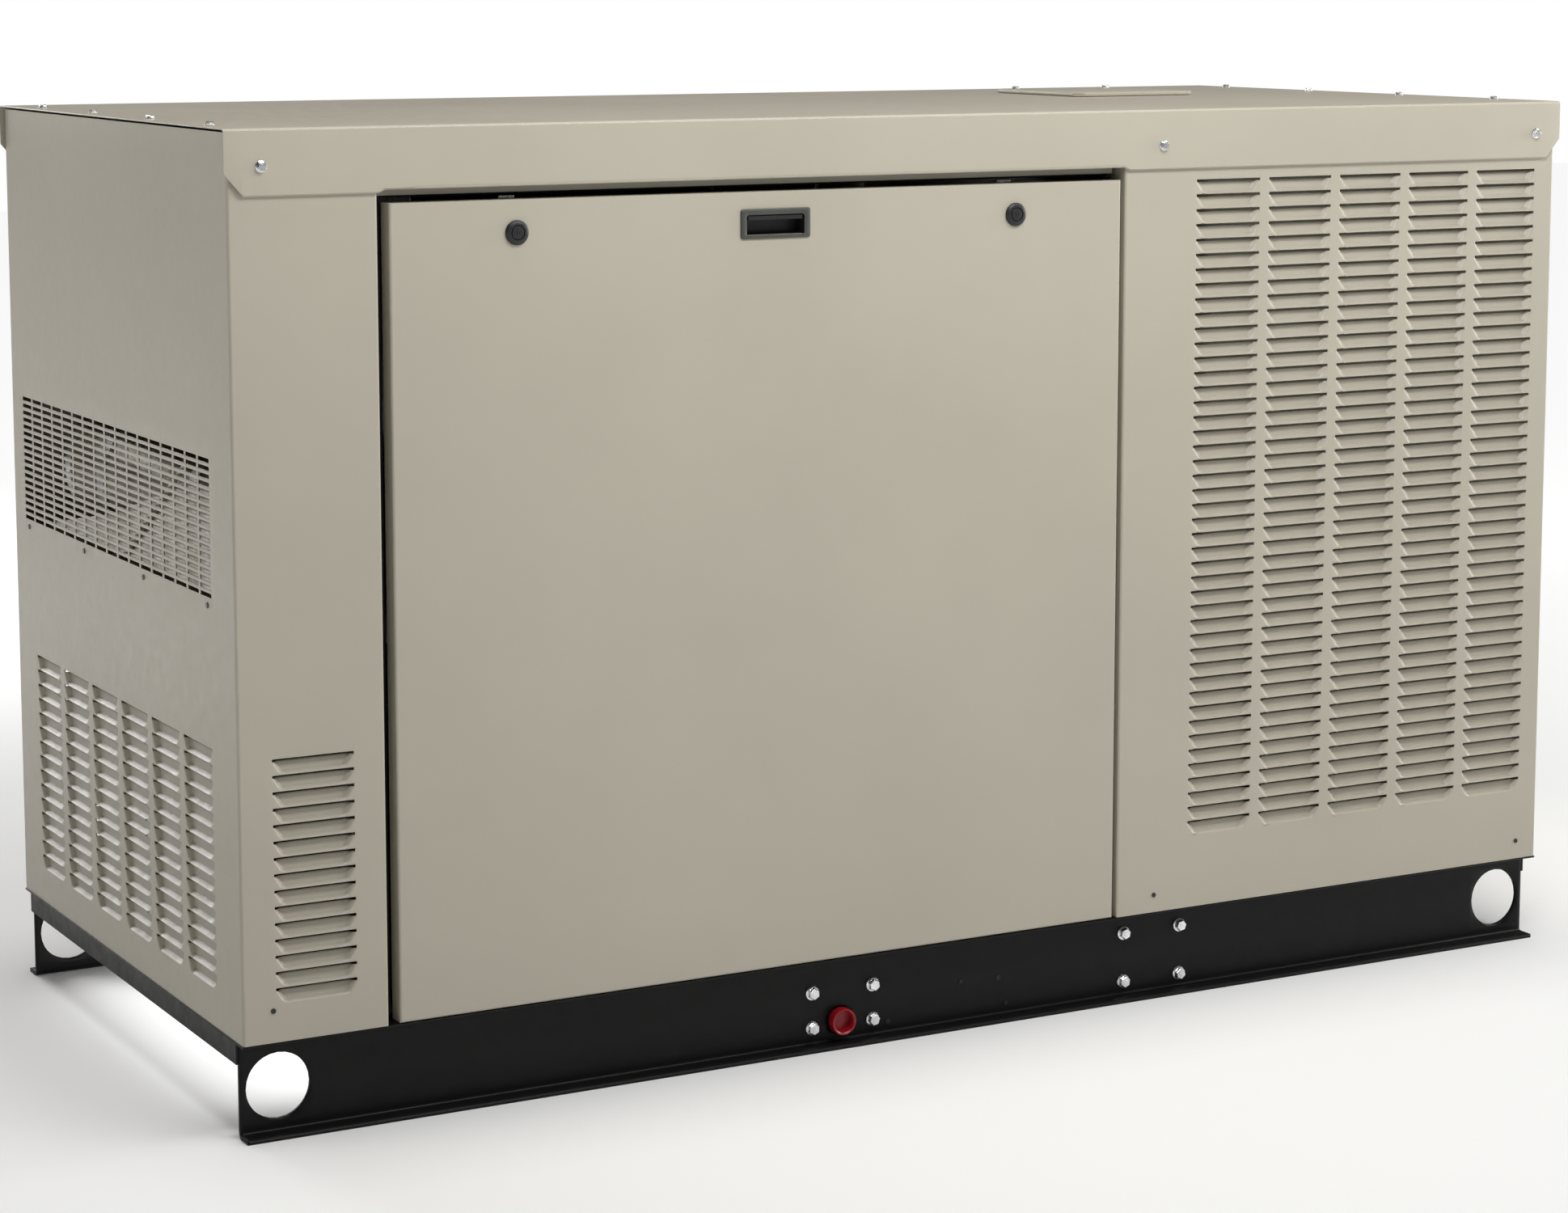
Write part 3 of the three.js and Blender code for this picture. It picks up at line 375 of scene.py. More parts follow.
class Shape:
    """Collects closed primitives into one mesh; every number is in millimetres."""

    def __init__(self):
        self.verts, self.faces, self.slots = [], [], []

    def add(self, verts, faces, slot=0):
        base = len(self.verts)
        self.verts += verts
        self.faces += [tuple(base + i for i in face) for face in faces]
        self.slots += [slot] * len(faces)
        return self

    def box(self, low, high, slot=0):
        (x0, y0, z0), (x1, y1, z1) = [tuple(map(f, zip(low, high))) for f in (min, max)]
        verts = [(x, y, z) for z in (z0, z1) for x, y in ((x0, y0), (x1, y0), (x1, y1), (x0, y1))]
        return self.add(verts, BOX_FACES, slot)

    def lathe(self, profile, place, axis="z", sides=32, slot=0, phase=0.0):
        """A closed turning of (radius, along) points about an axis through place."""
        u, v, w = AXES[axis]
        rings, verts = [], []
        for radius, along in profile:
            count = 1 if radius < NEAR_ZERO else sides
            rings.append(range(len(verts), len(verts) + count))
            for k in range(count):
                angle = 2 * math.pi * (k + phase) / sides
                round_it = math.cos(angle) * u + math.sin(angle) * v
                verts.append(tuple(Vector(place) + radius * round_it + along * w))
        faces = []
        for a, b in zip(rings, rings[1:]):
            for k in range(sides):
                quad = [a[k % len(a)], a[(k + 1) % len(a)], b[(k + 1) % len(b)], b[k % len(b)]]
                face = list(dict.fromkeys(quad))
                if len(face) > 2:
                    faces.append(tuple(face))
        for ring, turned in ((rings[0], True), (rings[-1], False)):
            if len(ring) > 1:
                faces.append(tuple(reversed(ring)) if turned else tuple(ring))
        return self.add(verts, faces, slot)

    def rod(self, radius, start, end, place, axis="z", sides=24, slot=0, chamfer=0.0, phase=0.0):
        profile = [(radius, start), (radius, end)]
        if chamfer:
            flat = radius - chamfer
            profile = [(flat, start), (radius, start + chamfer), (radius, end - chamfer), (flat, end)]
        return self.lathe(profile, place, axis, sides, slot, phase)

    def prism(self, outline, axis, start, end, slot=0):
        """An outline, in the two coordinates that the axis leaves, run from start to end."""
        count = len(outline)
        at = {"x": lambda p, t: (t, p[0], p[1]), "y": lambda p, t: (p[0], t, p[1]),
              "z": lambda p, t: (p[0], p[1], t)}[axis]
        verts = [at(p, t) for t in (start, end) for p in outline]
        faces = [tuple(reversed(range(count))), tuple(range(count, 2 * count))]
        faces += [(i, (i + 1) % count, count + (i + 1) % count, count + i) for i in range(count)]
        return self.add(verts, faces, slot)

    def pipe(self, points, radius, sides=16, steps=8, slot=0, ripple=None):
        """A round tube along a smooth line; ripple(s) scales the radius along it."""
        line = smooth_line(points, steps)
        verts, faces = [], []
        up = Vector((0.0, 0.0, 1.0))
        heading = (line[1] - line[0]).normalized()
        side = heading.cross(up if abs(heading.z) < 0.9 else Vector((1.0, 0.0, 0.0))).normalized()
        for i, point in enumerate(line):
            ahead = (line[min(i + 1, len(line) - 1)] - line[max(i - 1, 0)]).normalized()
            side = (side - side.dot(ahead) * ahead).normalized()
            other = ahead.cross(side)
            r = radius * (ripple(i / (len(line) - 1)) if ripple else 1.0)
            for k in range(sides):
                angle = 2 * math.pi * k / sides
                verts.append(tuple(point + r * (math.cos(angle) * side + math.sin(angle) * other)))
        for i in range(len(line) - 1):
            for k in range(sides):
                a, b = i * sides + k, i * sides + (k + 1) % sides
                faces.append((a, b, b + sides, a + sides))
        faces.append(tuple(reversed(range(sides))))
        faces.append(tuple(range((len(line) - 1) * sides, len(line) * sides)))
        return self.add(verts, faces, slot)

    def make(self, name, body, shade, stands_for=(), bevel=0.0, segments=2, extra=(), smooth=40.0):
        obj = piece(name, body, self.verts, self.faces, shade, stands_for, smooth, bevel, segments, extra,
                    self.slots if extra else None)
        outward(obj)
        return obj


AXES = {
    "x": (Vector((0, 1, 0)), Vector((0, 0, 1)), Vector((1, 0, 0))),
    "y": (Vector((0, 0, 1)), Vector((1, 0, 0)), Vector((0, 1, 0))),
    "z": (Vector((1, 0, 0)), Vector((0, 1, 0)), Vector((0, 0, 1))),
}


def smooth_line(points, steps):
    """Catmull-Rom points through the given ones."""
    p = [Vector(q) for q in points]
    p = [2 * p[0] - p[1], *p, 2 * p[-1] - p[-2]]
    line = []
    for i in range(1, len(p) - 2):
        for k in range(steps):
            t = k / steps
            a, b, c, d = p[i - 1:i + 3]
            line.append(0.5 * (2 * b + (c - a) * t + (2 * a - 5 * b + 4 * c - d) * t ** 2
                               + (3 * b - a - 3 * c + d) * t ** 3))
    return line + [p[-2]]


def outward(obj):
    """Turns every closed shell of a mesh so that it faces out."""
    bm = bmesh.new()
    bm.from_mesh(obj.data)
    bmesh.ops.recalc_face_normals(bm, faces=bm.faces)
    bm.to_mesh(obj.data)
    bm.free()


def placed(plane, u, v, depth):
    """A point on one of the enclosure's faces: u along it, v up, depth into the enclosure."""
    way, axis = plane
    return (u, way * (HALF_WIDTH - depth), v) if axis == "y" else (way * (HALF_LENGTH - depth), u, v)


# ------------------------------------------------------------------ sheets with louvres and slots


def spaced(low, high, step):
    """Places from low to high, both in, no further apart than step."""
    count = max(1, math.ceil((high - low) / step))
    return [low + (high - low) * k / count for k in range(count + 1)]


def ease(t):
    t = min(max(t, 0.0), 1.0)
    return t * t * (3 - 2 * t)


def louvre_depth(along, down):
    """How deep a louvre's blade lies, in from its end and down from its slit, both in millimetres."""
    t = down / LOUVRE_TALL
    knee, rise = LOUVRE["knee"], LOUVRE["rise"]
    if t < knee:
        blade = LOUVRE["deep"] * (1.0 - rise * t)
    else:
        blade = LOUVRE["deep"] * (1.0 - rise * knee) * (1.0 - (t - knee) / (1.0 - knee))
    inset = min(along, LOUVRE["width"] - along) - LOUVRE["border"]
    return max(0.0, blade * ease(inset / LOUVRE["end"]))


def louvre_shift(along, down):
    """How far a louvre's end moves in at this height, because the blade is narrower at its foot."""
    inset = min(along, LOUVRE["width"] - along)
    if not -NEAR_ZERO <= inset - LOUVRE["border"] <= LOUVRE["end"] + NEAR_ZERO:
        return 0.0
    way = 1.0 if along < LOUVRE["width"] / 2 else -1.0
    t = min(max(down / LOUVRE_TALL, 0.0), 1.0)
    return way * LOUVRE["taper"] * (0.75 * t + 0.25 * t ** 3)


def sheet(name, body, verts, faces, facing):
    """A beige sheet that stands for the CAD node of that name."""
    return piece(name + "_sheet", body, verts, faces, beige, [name], 32.0, solid=SHEET, facing=facing)


def grille_slots(grille):
    """The spans of the grille's slots, along and up."""
    step = (grille["last"] - grille["first"]) / grille["columns"]
    wall, half = (step - grille["slot"]) / 2, grille["height"] / 2
    along = [(grille["first"] + step * i + wall, grille["first"] + step * (i + 1) - wall)
             for i in range(grille["columns"])]
    rise = (grille["top"] - grille["bottom"]) / (grille["rows"] - 1)
    middles = [grille["bottom"] + rise * i for i in range(grille["rows"])]
    up = [(v - half, v + half) for v in middles]
    return along, up


def louvred_sheet(plane, low, high, bank, grille=None):
    """A flat sheet as one grid, with a bank of louvres pressed into it and a grille of slots.

    Returns its points, its faces, and the points along its low and its high edge.
    """
    slit = LOUVRE["slit"]
    columns = [bank["first"] + i * bank["step"] for i in range(bank["columns"])] if bank else []
    across = LOUVRE_SIDES + tuple(LOUVRE["width"] - a for a in LOUVRE_SIDES)
    tops = [bank["top"] - r * LOUVRE["pitch"] for r in range(bank["rows"])] if bank else []
    u_all = sorted(set(spaced(low, high, BREAK)) | {c + a for c in columns for a in across})
    v_all = set(spaced(PANEL_BOTTOM, PANEL_TOP, BREAK))
    if tops:
        foot = tops[-1] - LOUVRE["pitch"]
        v_all = {v for v in v_all if not foot - 2.0 < v < tops[0] + 2.0} | {foot}
    for top in tops:
        v_all |= {top} | {top - slit - d for d in LOUVRE_DOWNS}
    slots_u, slots_v = [], []
    if grille:
        slots_u, slots_v = grille_slots(grille)
        u_all = sorted(set(u_all) | {round(u, 4) for pair in slots_u for u in pair})
        v_all |= {v for pair in slots_v for v in pair}
    v_all = sorted(v_all)

    def column_at(u):
        return next((c for c in columns if c - NEAR_ZERO <= u <= c + LOUVRE["width"] + NEAR_ZERO), None)

    def pressed(u, v):
        column = column_at(u)
        if column is not None:
            for top in tops:
                down = top - slit - v
                if -NEAR_ZERO <= down <= LOUVRE_TALL + NEAR_ZERO:
                    along = u - column
                    return placed(plane, u + louvre_shift(along, down), v, louvre_depth(along, down))
        return placed(plane, u, v, 0.0)

    def is_open(i, j):
        u, v = (u_all[i] + u_all[i + 1]) / 2, (v_all[j] + v_all[j + 1]) / 2
        column = column_at(u)
        if column is not None and LOUVRE["border"] < u - column < LOUVRE["width"] - LOUVRE["border"]:
            if any(top - slit < v < top for top in tops):
                return True
        return any(a < u < b for a, b in slots_u) and any(a < v < b for a, b in slots_v)

    verts = [pressed(u, v) for v in v_all for u in u_all]
    wide, tall = len(u_all), len(v_all)
    low_edge = [j * wide for j in range(tall)]
    return verts, quads(wide, tall, is_open), low_edge, [k + wide - 1 for k in low_edge]


def fold_on(verts, faces, column, path):
    """Runs a folded edge on from a column of points. path gives the offsets from that column."""
    last = list(column)
    for offset in path:
        base = len(verts)
        for index in column:
            x, y, z = verts[index]
            verts.append((x + offset[0], y + offset[1], z + offset[2]))
        new = list(range(base, base + len(column)))
        faces += band(last, new)[:-1]
        last = new


def bend_path(out, inward, radius, flange=0.0, lip=0.0):
    """Offsets of a quarter bend from travelling along out to travelling inward, then a flange and a lip."""
    out, inward = Vector(out), Vector(inward)
    path = [out * radius * math.sin(a) + inward * radius * (1 - math.cos(a)) for a in EIGHTHS]
    if flange:
        path.append(path[-1] + inward * flange)
    if lip:
        corner = path[-1]
        path.append(corner + inward * 1.2 - out * 1.2)
        path.append(path[-1] - out * lip)
    return path


def corner_panel(side, which):
    """A panel between a corner and the door, with its bank of louvres and its turned-in door stop."""
    bank = CORNER_BANK if which == "left" else TALL_BANK
    way = -1 if which == "left" else 1
    corner, opening = way * HALF_LENGTH, OPENING[0] if which == "left" else OPENING[1]
    low, high = sorted((corner - way * BEND, opening + way * BEND))
    verts, faces, *edges = louvred_sheet((side, "y"), low, high, bank)
    outer, inner = edges if way < 0 else reversed(edges)
    inward = (0, -side, 0)
    fold_on(verts, faces, outer, bend_path((way, 0, 0), inward, BEND))
    fold_on(verts, faces, inner, bend_path((-way, 0, 0), inward, BEND, **STOP))
    name = f"{'front' if side == FRONT else 'rear'}_{which}_panel"
    return sheet(name, ROOT, verts, faces, (0, side, 0))


def end_panel(way):
    """An end panel; the alternator end has louvres and the exhaust grille."""
    high = HALF_WIDTH - BEND - 0.5
    bank, grille = (END_BANK, GRILLE) if way < 0 else (None, None)
    verts, faces, *edges = louvred_sheet((way, "x"), -high, high, bank, grille)
    for column, out in zip(edges, (-1, 1)):
        fold_on(verts, faces, column, [(-way * 1.4, out * 0.2, 0), (-way * 20.0, out * 0.2, 0)])
    return sheet("left_end_panel" if way < 0 else "right_end_panel", ROOT, verts, faces, (way, 0, 0))


for side_name, side in SIDES:
    for which in ("left", "right"):
        corner_panel(side, which)
for way in (-1, 1):
    end_panel(way)

# ------------------------------------------------------------------ roof


def roof_sheet():
    """One sheet over the top, bent down at the front and rear, hemmed and cut back over the doors."""
    r, y, top, bottom = ROOF["bend"], ROOF["y"], ROOF["top"], ROOF["bottom"]
    hem = ((4.6, 7.0), (3.4, 0.6), (1.4, 0.0), (0.0, 1.4))  # how far in and how far up
    stations = [(y - less, bottom + rise, 1) for less, rise in hem]
    stations += [(y, v, 0) for v in (bottom + 4.5, bottom + ROOF["chamfer"], top - 22, top - r)]
    stations += [(y - r * (1 - math.cos(a)), top - r * (1 - math.sin(a)), 0) for a in EIGHTHS]
    stations += [(v, top, 0) for v in (y - 60, 230, ROOF_HOLE[3], 205, 62, ROOF_HOLE[2], 50, 0.0)]
    half = [(FRONT * a, z, hemmed) for a, z, hemmed in stations]
    line = half + [(-a, z, hemmed) for a, z, hemmed in reversed(half[:-1])]
    cuts = (OPENING[0], OPENING[0] + 8.5, 241.0, 249.5)  # between them the hem is stepped up over the door
    xs = sorted({*spaced(-ROOF["x"] + ROOF["cut"], ROOF["x"] - ROOF["cut"], 70.0), *cuts, *ROOF_HOLE[:2],
                 -300.0, 303.0})
    xs = [-ROOF["x"], *xs, ROOF["x"]]
    verts = []
    for a, z, hemmed in line:
        for i, x in enumerate(xs):
            rise = 0.0
            if hemmed and cuts[1] - 0.1 <= x <= cuts[2] + 0.1:
                rise = ROOF["hem_rise"]
            if i in (0, len(xs) - 1):
                below = max(0.0, bottom + ROOF["chamfer"] - z)
                x = math.copysign(ROOF["x"] - below * ROOF["cut"] / ROOF["chamfer"], x)
            verts.append((x, a, z + rise))

    def in_hole(i, j):
        x, a = (xs[i] + xs[i + 1]) / 2, (line[j][0] + line[j + 1][0]) / 2
        x0, x1, a0, a1 = ROOF_HOLE
        return x0 < x < x1 and a0 < a < a1 and line[j][1] > top - 1

    faces = quads(len(xs), len(line), in_hole)
    middle = min(range(len(faces)), key=lambda k: abs(verts[faces[k][0]][1]) - verts[faces[k][0]][2])
    faces.insert(0, faces.pop(middle))
    return sheet("roof", ROOT, verts, faces, (0, 0, 1))


roof_sheet()
rails = Shape()
for side in (FRONT, REAR):
    rails.box((-752, side * 386, 1068.0), (242, side * 389, 1146.0))
    rails.box((-752, side * 386, 1068.0), (242, side * 374, 1070.5))
rails.make("roof_header_rails", ROOT, beige, bevel=0.6)


def hex_screw(shape, place, axis, way, across=9.5, washer=13.0, slot=0, tall=5.0):
    """A flanged hexagon screw on a surface, facing along way times the axis."""
    r, rim, s = across / 2 / math.cos(math.pi / 6), washer / 2, way
    shape.lathe([(rim, 0.0), (rim, s * 0.9), (rim - 1.5, s * 1.5)], place, axis, 24, slot)
    shape.lathe([(r, s * 1.0), (r, s * (tall - 0.9)), (r - 0.9, s * tall)], place, axis, 6, slot,
                phase=rng.random())
    shape.lathe([(r * 0.42, s * tall), (r * 0.40, s * (tall + 0.15))], place, axis, 12, slot)


def panel_screws():
    """Screws of the roof's band, the roof's ends, the access cover and the right end panel."""
    zinc_screws = Shape()
    for side in (FRONT, REAR):
        for x, z in ((-897, 1106), (300, 1103), (899, 1106)):
            hex_screw(zinc_screws, (x, side * ROOF["y"], z), "y", side, 10.0, 13.5, tall=5.5)
    for x in (-916, 916):
        for y in (-310, -105, 105, 310):
            hex_screw(zinc_screws, (x, y, ROOF["top"]), "z", 1, 8.5, 12.0, tall=4.0)
    for x in (488, 642):
        hex_screw(zinc_screws, (x, 227, COVER_TOP), "z", 1, 8.5, 12.0, tall=3.6)
    for y in END_SCREWS:
        hex_screw(zinc_screws, (HALF_LENGTH, -y, END_SCREWS_Z), "x", 1, 7.0, 9.0, tall=3.0)
    return zinc_screws.make("panel_screws", ROOT, zinc, bevel=0.25, smooth=30.0)


panel_screws()

grille_fixings = Shape()
for y in END_SCREWS:
    grille_fixings.rod(3.4, 0.0, -1.6, (-HALF_LENGTH, y, END_SCREWS_Z), "x", 16)
grille_fixings.make("grille_rivets", ROOT, dark_steel, bevel=0.4)

# dark discs where the panels have pilot holes: painted shade of the open holes, which are not cut
pilot_hole_shade = Shape()
for side in (FRONT, REAR):
    for x, z in ((-899, 152.4), (303, 138), (901, 140)):
        pilot_hole_shade.rod(3.0, 0.12, -1.0, (x, side * HALF_WIDTH, z), "y", 16)
pilot_hole_shade.make("pilot_hole_shade", ROOT, black_plastic)

# ------------------------------------------------------------------ doors


def door_pan(side, name):
    """The door's outer sheet: a flat face, rolled edges and returns, with a cut-out for the handle."""
    x0, x1, z0, z1 = DOOR
    half_wide, half_tall = PULL_CUT
    cut = (DOOR_CENTRE - half_wide, DOOR_CENTRE + half_wide, HARDWARE_Z - half_tall, HARDWARE_Z + half_tall)
    r = BEND
    us = sorted({*spaced(x0 + r, x1 - r, 80.0), *cut[:2]})
    vs = sorted({*spaced(z0 + r, z1 - r, 80.0), *cut[2:]})
    plane = (side, "y")
    verts = [placed(plane, u, v, 0.0) for v in vs for u in us]
    wide = len(us)

    def behind_pull(i, j):
        return cut[0] < (us[i] + us[i + 1]) / 2 < cut[1] and cut[2] < (vs[j] + vs[j + 1]) / 2 < cut[3]

    faces = quads(wide, len(vs), behind_pull)
    last = grid_rim(wide, len(vs))
    loop = [(us[i % wide], vs[i // wide]) for i in last]
    offsets = [(r * (1 - math.sin(a)), r * (1 - math.cos(a))) for a in EIGHTHS]
    offsets += [(0.0, DOOR_DEPTH - 1.0), (1.0, DOOR_DEPTH), (DOOR_RETURN, DOOR_DEPTH)]
    for offset, depth in offsets:
        base = len(verts)
        for u, v in loop:
            u = x0 + offset if u <= x0 + r else x1 - offset if u >= x1 - r else u
            v = z0 + offset if v <= z0 + r else z1 - offset if v >= z1 - r else v
            verts.append(placed(plane, u, v, depth))
        new = list(range(base, base + len(loop)))
        faces += band(last, new)
        last = new
    return sheet(name, name, verts, faces, (0, side, 0))


def latch_piece(name, x, side):
    """A round key latch: domed head with a recessed key slot, nut and cam; a thin dark bar across the slot is
    painted shade.
    """
    head = Shape()
    at, z, s = (x, side * HALF_WIDTH, HARDWARE_Z), HARDWARE_Z, side
    dome = ((14.3, 0.2), (14.3, 2.2), (13.2, 3.6), (10.6, 4.4), (8.8, 4.6), (8.2, 3.2), (0.0, 3.0))
    barrel = ((7.4, 2.4), (7.4, 4.1), (6.8, 4.6), (2.2, 4.7), (1.9, 4.0), (0.0, 4.0))
    head.lathe([(r, s * out) for r, out in dome], at, "y", 48)
    head.lathe([(r, s * out) for r, out in barrel], at, "y", 40)
    key_slot_shade, cam, plate = (4.55, 4.95), (-27.2, -30.0), s * HALF_WIDTH
    # a thin dark rubber bar across the barrel: painted shade of the key slot
    head.box((x - 0.9, plate + s * key_slot_shade[0], z - 5.4), (x + 0.9, plate + s * key_slot_shade[1], z + 5.4), 1)
    head.rod(9.0, s * 0.2, -s * 26.0, at, "y", 24)
    head.lathe([(15.5, -s * 2.2), (15.5, -s * 7.5)], at, "y", 6)
    head.box((x - 10, plate + s * cam[0], z - 10), (x + 10, plate + s * cam[1], z + 41.0), 2)
    return head.make(name + "_lock", name, black_plastic, [name], bevel=0.35, extra=(rubber, zinc),
                     smooth=35.0)


def handle_piece(side, door):
    """A recessed pull: bevelled bezel round a deep pocket with a finger bar under its top edge."""
    x, z = DOOR_CENTRE, HARDWARE_Z
    bezel, pocket = 0, 1
    rings = (  # half width, half height, how far out of the door, how far down, material
        (46.8, 17.7, 0.2, 0.0, bezel), (46.8, 17.7, 1.6, 0.0, bezel), (45.6, 16.5, 2.6, 0.0, bezel),
        (40.2, 13.8, 2.3, 0.0, bezel), (38.9, 12.2, 1.2, 1.5, bezel), (38.9, 11.6, -1.0, 1.5, pocket),
        (38.4, 11.2, -19.6, 1.5, pocket),
    )
    around = 16
    made = Shape()
    for i, (w, h, out, down, slot) in enumerate(rings):
        corner = min(3.0, h * 0.3)
        for cx, cz, start in ((1, 1, 0), (-1, 1, 90), (-1, -1, 180), (1, -1, 270)):
            for k in range(around // 4):
                angle = math.radians(start + 30 * k)
                across = cx * (w - corner) + corner * math.cos(angle)
                above = cz * (h - corner) + corner * math.sin(angle) - down
                made.verts.append((x + across, side * (HALF_WIDTH + out), z + above))
        if i:
            last = list(range((i - 1) * around, i * around))
            made.faces += [(a, b, c, d) for a, d, c, b in band(last, [k + around for k in last])]
            made.slots += [slot] * around
    made.faces.append(tuple(range(len(made.verts) - around, len(made.verts))))
    made.slots.append(pocket)
    front, back = side * (HALF_WIDTH + 0.6), side * (HALF_WIDTH - 7.5)
    made.box((x - 36.5, front, z + 4.6), (x + 36.5, back, z + 9.2), pocket)  # the bar that fingers catch
    return piece(door + "_pull", door, made.verts, made.faces, grey_plastic, [door + "_handle"],
                 extra=(black_plastic,), slots=made.slots)


def foam_liner(side, door):
    """The foam slab inside the door: chequered pattern of shallow wedges, facing the engine."""
    low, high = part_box(door + "_liner")
    margin, cells = FOAM_WEDGE["margin"], FOAM_WEDGE["cells"]
    x0, x1, z0, z1 = low.x / MM + margin, high.x / MM - margin, low.z / MM + margin, high.z / MM
    back, trough = HALF_WIDTH - 2.0, HALF_WIDTH - DOOR_DEPTH + 10.5
    nx, nz = [round(span / FOAM_WEDGE["step"]) * cells for span in (x1 - x0, z1 - z0)]
    verts = []
    for j in range(nz + 1):
        for i in range(nx + 1):
            u, v = i / cells, j / cells
            wave = math.sin(math.pi * (u if (int(u) + int(v)) % 2 else v)) ** 2
            edge = 1.0 if 0 < i < nx and 0 < j < nz else 0.0
            y = side * (trough - FOAM_WEDGE["deep"] * wave * edge)
            verts.append((x0 + (x1 - x0) * i / nx, y, z0 + (z1 - z0) * j / nz))
    faces = quads(nx + 1, nz + 1)
    rim = grid_rim(nx + 1, nz + 1)
    new = list(range(len(verts), len(verts) + len(rim)))
    verts += [(verts[k][0], side * back, verts[k][2]) for k in rim]
    faces += band(rim, new) + [tuple(reversed(new))]
    obj = piece(door + "_foam", door, verts, faces, foam, [door + "_liner"], smooth=60.0)
    outward(obj)
    return obj


for side_name, side in SIDES:
    door = side_name + "_door"
    door_pan(side, door)
    handle_piece(side, door)
    foam_liner(side, door)
    for hand, way in (("left", -1), ("right", 1)):
        latch_piece(f"{side_name}_latch_{hand}", DOOR_CENTRE + way * LATCH_SPREAD, side)
    seal = Shape()
    thick, y = SEAL["radius"], side * SEAL["y"]
    for x in (OPENING[0] + SEAL["inset"], OPENING[1] - SEAL["inset"]):
        seal.rod(thick, 118.0, 1066.0, (x, y, 0.0), "z", 16)
    seal.rod(thick, -750.0, 238.0, (0.0, y - side * 0.5, SEAL["high"]), "x", 16)
    seal.rod(thick, -750.0, 238.0, (0.0, y, SEAL["low"]), "x", 16)
    seal.make(side_name + "_door_seal", ROOT, rubber)

# ------------------------------------------------------------------ skid


def skid_rail(side, name):
    """A formed rail: foot turned out, tall web with round holes, top turned in, with real bend radii."""
    r, big = RAIL["inner"], RAIL["outer"]
    holes = [dict(LIFTING, x=way * LIFTING["x"]) for way in (-1, 1)] + ([INLET] if side == FRONT else [])
    xs = set(spaced(-RAIL["x"], RAIL["x"], 120.0))
    zs = set(spaced(RAIL["plate"] + r, RAIL["top"] - big, 30.0))
    for hole in holes:
        xs = {x for x in xs if abs(x - hole["x"]) > hole["patch"] or abs(x) == RAIL["x"]}
        patch = [2 * hole["patch"] * k / PATCH_CELLS for k in range(PATCH_CELLS + 1)]
        xs |= {hole["x"] - hole["patch"] + step for step in patch}
        zs |= {hole["z"] - hole["patch"] + step for step in patch}
    xs, zs = sorted(xs), sorted(zs)
    web = RAIL["web"]
    path = [(RAIL["foot"], RAIL["plate"])]
    path += [(web + r - r * math.sin(a), RAIL["plate"] + r - r * math.cos(a)) for a in (0.0, *EIGHTHS[:-1])]
    first = len(path)
    path += [(web, z) for z in zs]
    path += [(web - big + big * math.cos(a), RAIL["top"] - big + big * math.sin(a)) for a in EIGHTHS]
    path += [(RAIL["in"], RAIL["top"])]
    verts = [(x, side * y, z) for y, z in path for x in xs]
    wide = len(xs)

    def in_patch(i, j):
        x, z = (xs[i] + xs[i + 1]) / 2, (path[j][1] + path[j + 1][1]) / 2
        on_web = first <= j < first + len(zs) - 1
        return on_web and any(abs(x - h["x"]) < h["patch"] and abs(z - h["z"]) < h["patch"] for h in holes)

    faces = quads(wide, len(path), in_patch)
    for hole in holes:
        columns = [i for i, x in enumerate(xs) if abs(x - hole["x"]) < hole["patch"] + NEAR_ZERO]
        rows = [j for j, z in enumerate(zs) if abs(z - hole["z"]) < hole["patch"] + NEAR_ZERO]
        border = [(columns[0], j) for j in rows] + [(i, rows[-1]) for i in columns[1:]]
        border += [(columns[-1], j) for j in rows[-2::-1]] + [(i, rows[0]) for i in columns[-2:0:-1]]
        base = len(verts)
        for i, j in border:
            angle = math.atan2(zs[j] - hole["z"], xs[i] - hole["x"])
            verts.append((hole["x"] + hole["radius"] * math.cos(angle), side * web,
                          hole["z"] + hole["radius"] * math.sin(angle)))
        outer = [(first + j) * wide + i for i, j in border]
        around = list(range(base, base + len(border)))
        faces += [(a, d, c, b) for a, b, c, d in band(outer, around)]
    web_face = next(k for k, f in enumerate(faces) if all(abs(verts[v][1]) == web for v in f))
    faces.insert(0, faces.pop(web_face))
    return piece(name + "_form", ROOT, verts, faces, black_paint, [name], 32.0, solid=RAIL["plate"],
                 facing=(0, side, 0))


skid_rail(FRONT, "skid_rail_front")
skid_rail(REAR, "skid_rail_rear")
for name in ("cross_member_engine", "cross_member_radiator"):
    dress(name, black_paint, 1.6, 3)
dress("base_pan", black_paint, 1.0, 2)


def skid_bolts():
    """Two groups of four flanged bolts on each rail, where the cross-members are held."""
    bolts = Shape()
    columns = ((-188, (69.4, 24.7)), (-102, (69.1, 24.6)), (273, (86, 21.9)), (360, (86, 21.4)))
    for side in (FRONT, REAR):
        for x, pair in columns:
            for z in pair:
                hex_screw(bolts, (x, side * RAIL["web"], z), "y", side, 13.0, 18.0, tall=7.5)
    return bolts.make("rail_bolts", ROOT, zinc, bevel=0.4, smooth=30.0)


skid_bolts()
# dark discs where the rail's web has small holes: painted shade of the open holes, which are not cut
web_hole_shade = Shape()
for side in (FRONT, REAR):
    for x, z, r in ((-80, 18.8, 3.4), (82, 52.8, 3.4), (94, 18.4, 3.0), (26.5, 55.4, 2.6)):
        web_hole_shade.rod(r, 0.1, -1.0, (x, side * RAIL["web"], z), "y", 16)
web_hole_shade.make("rail_pilot_hole_shade", ROOT, rubber)


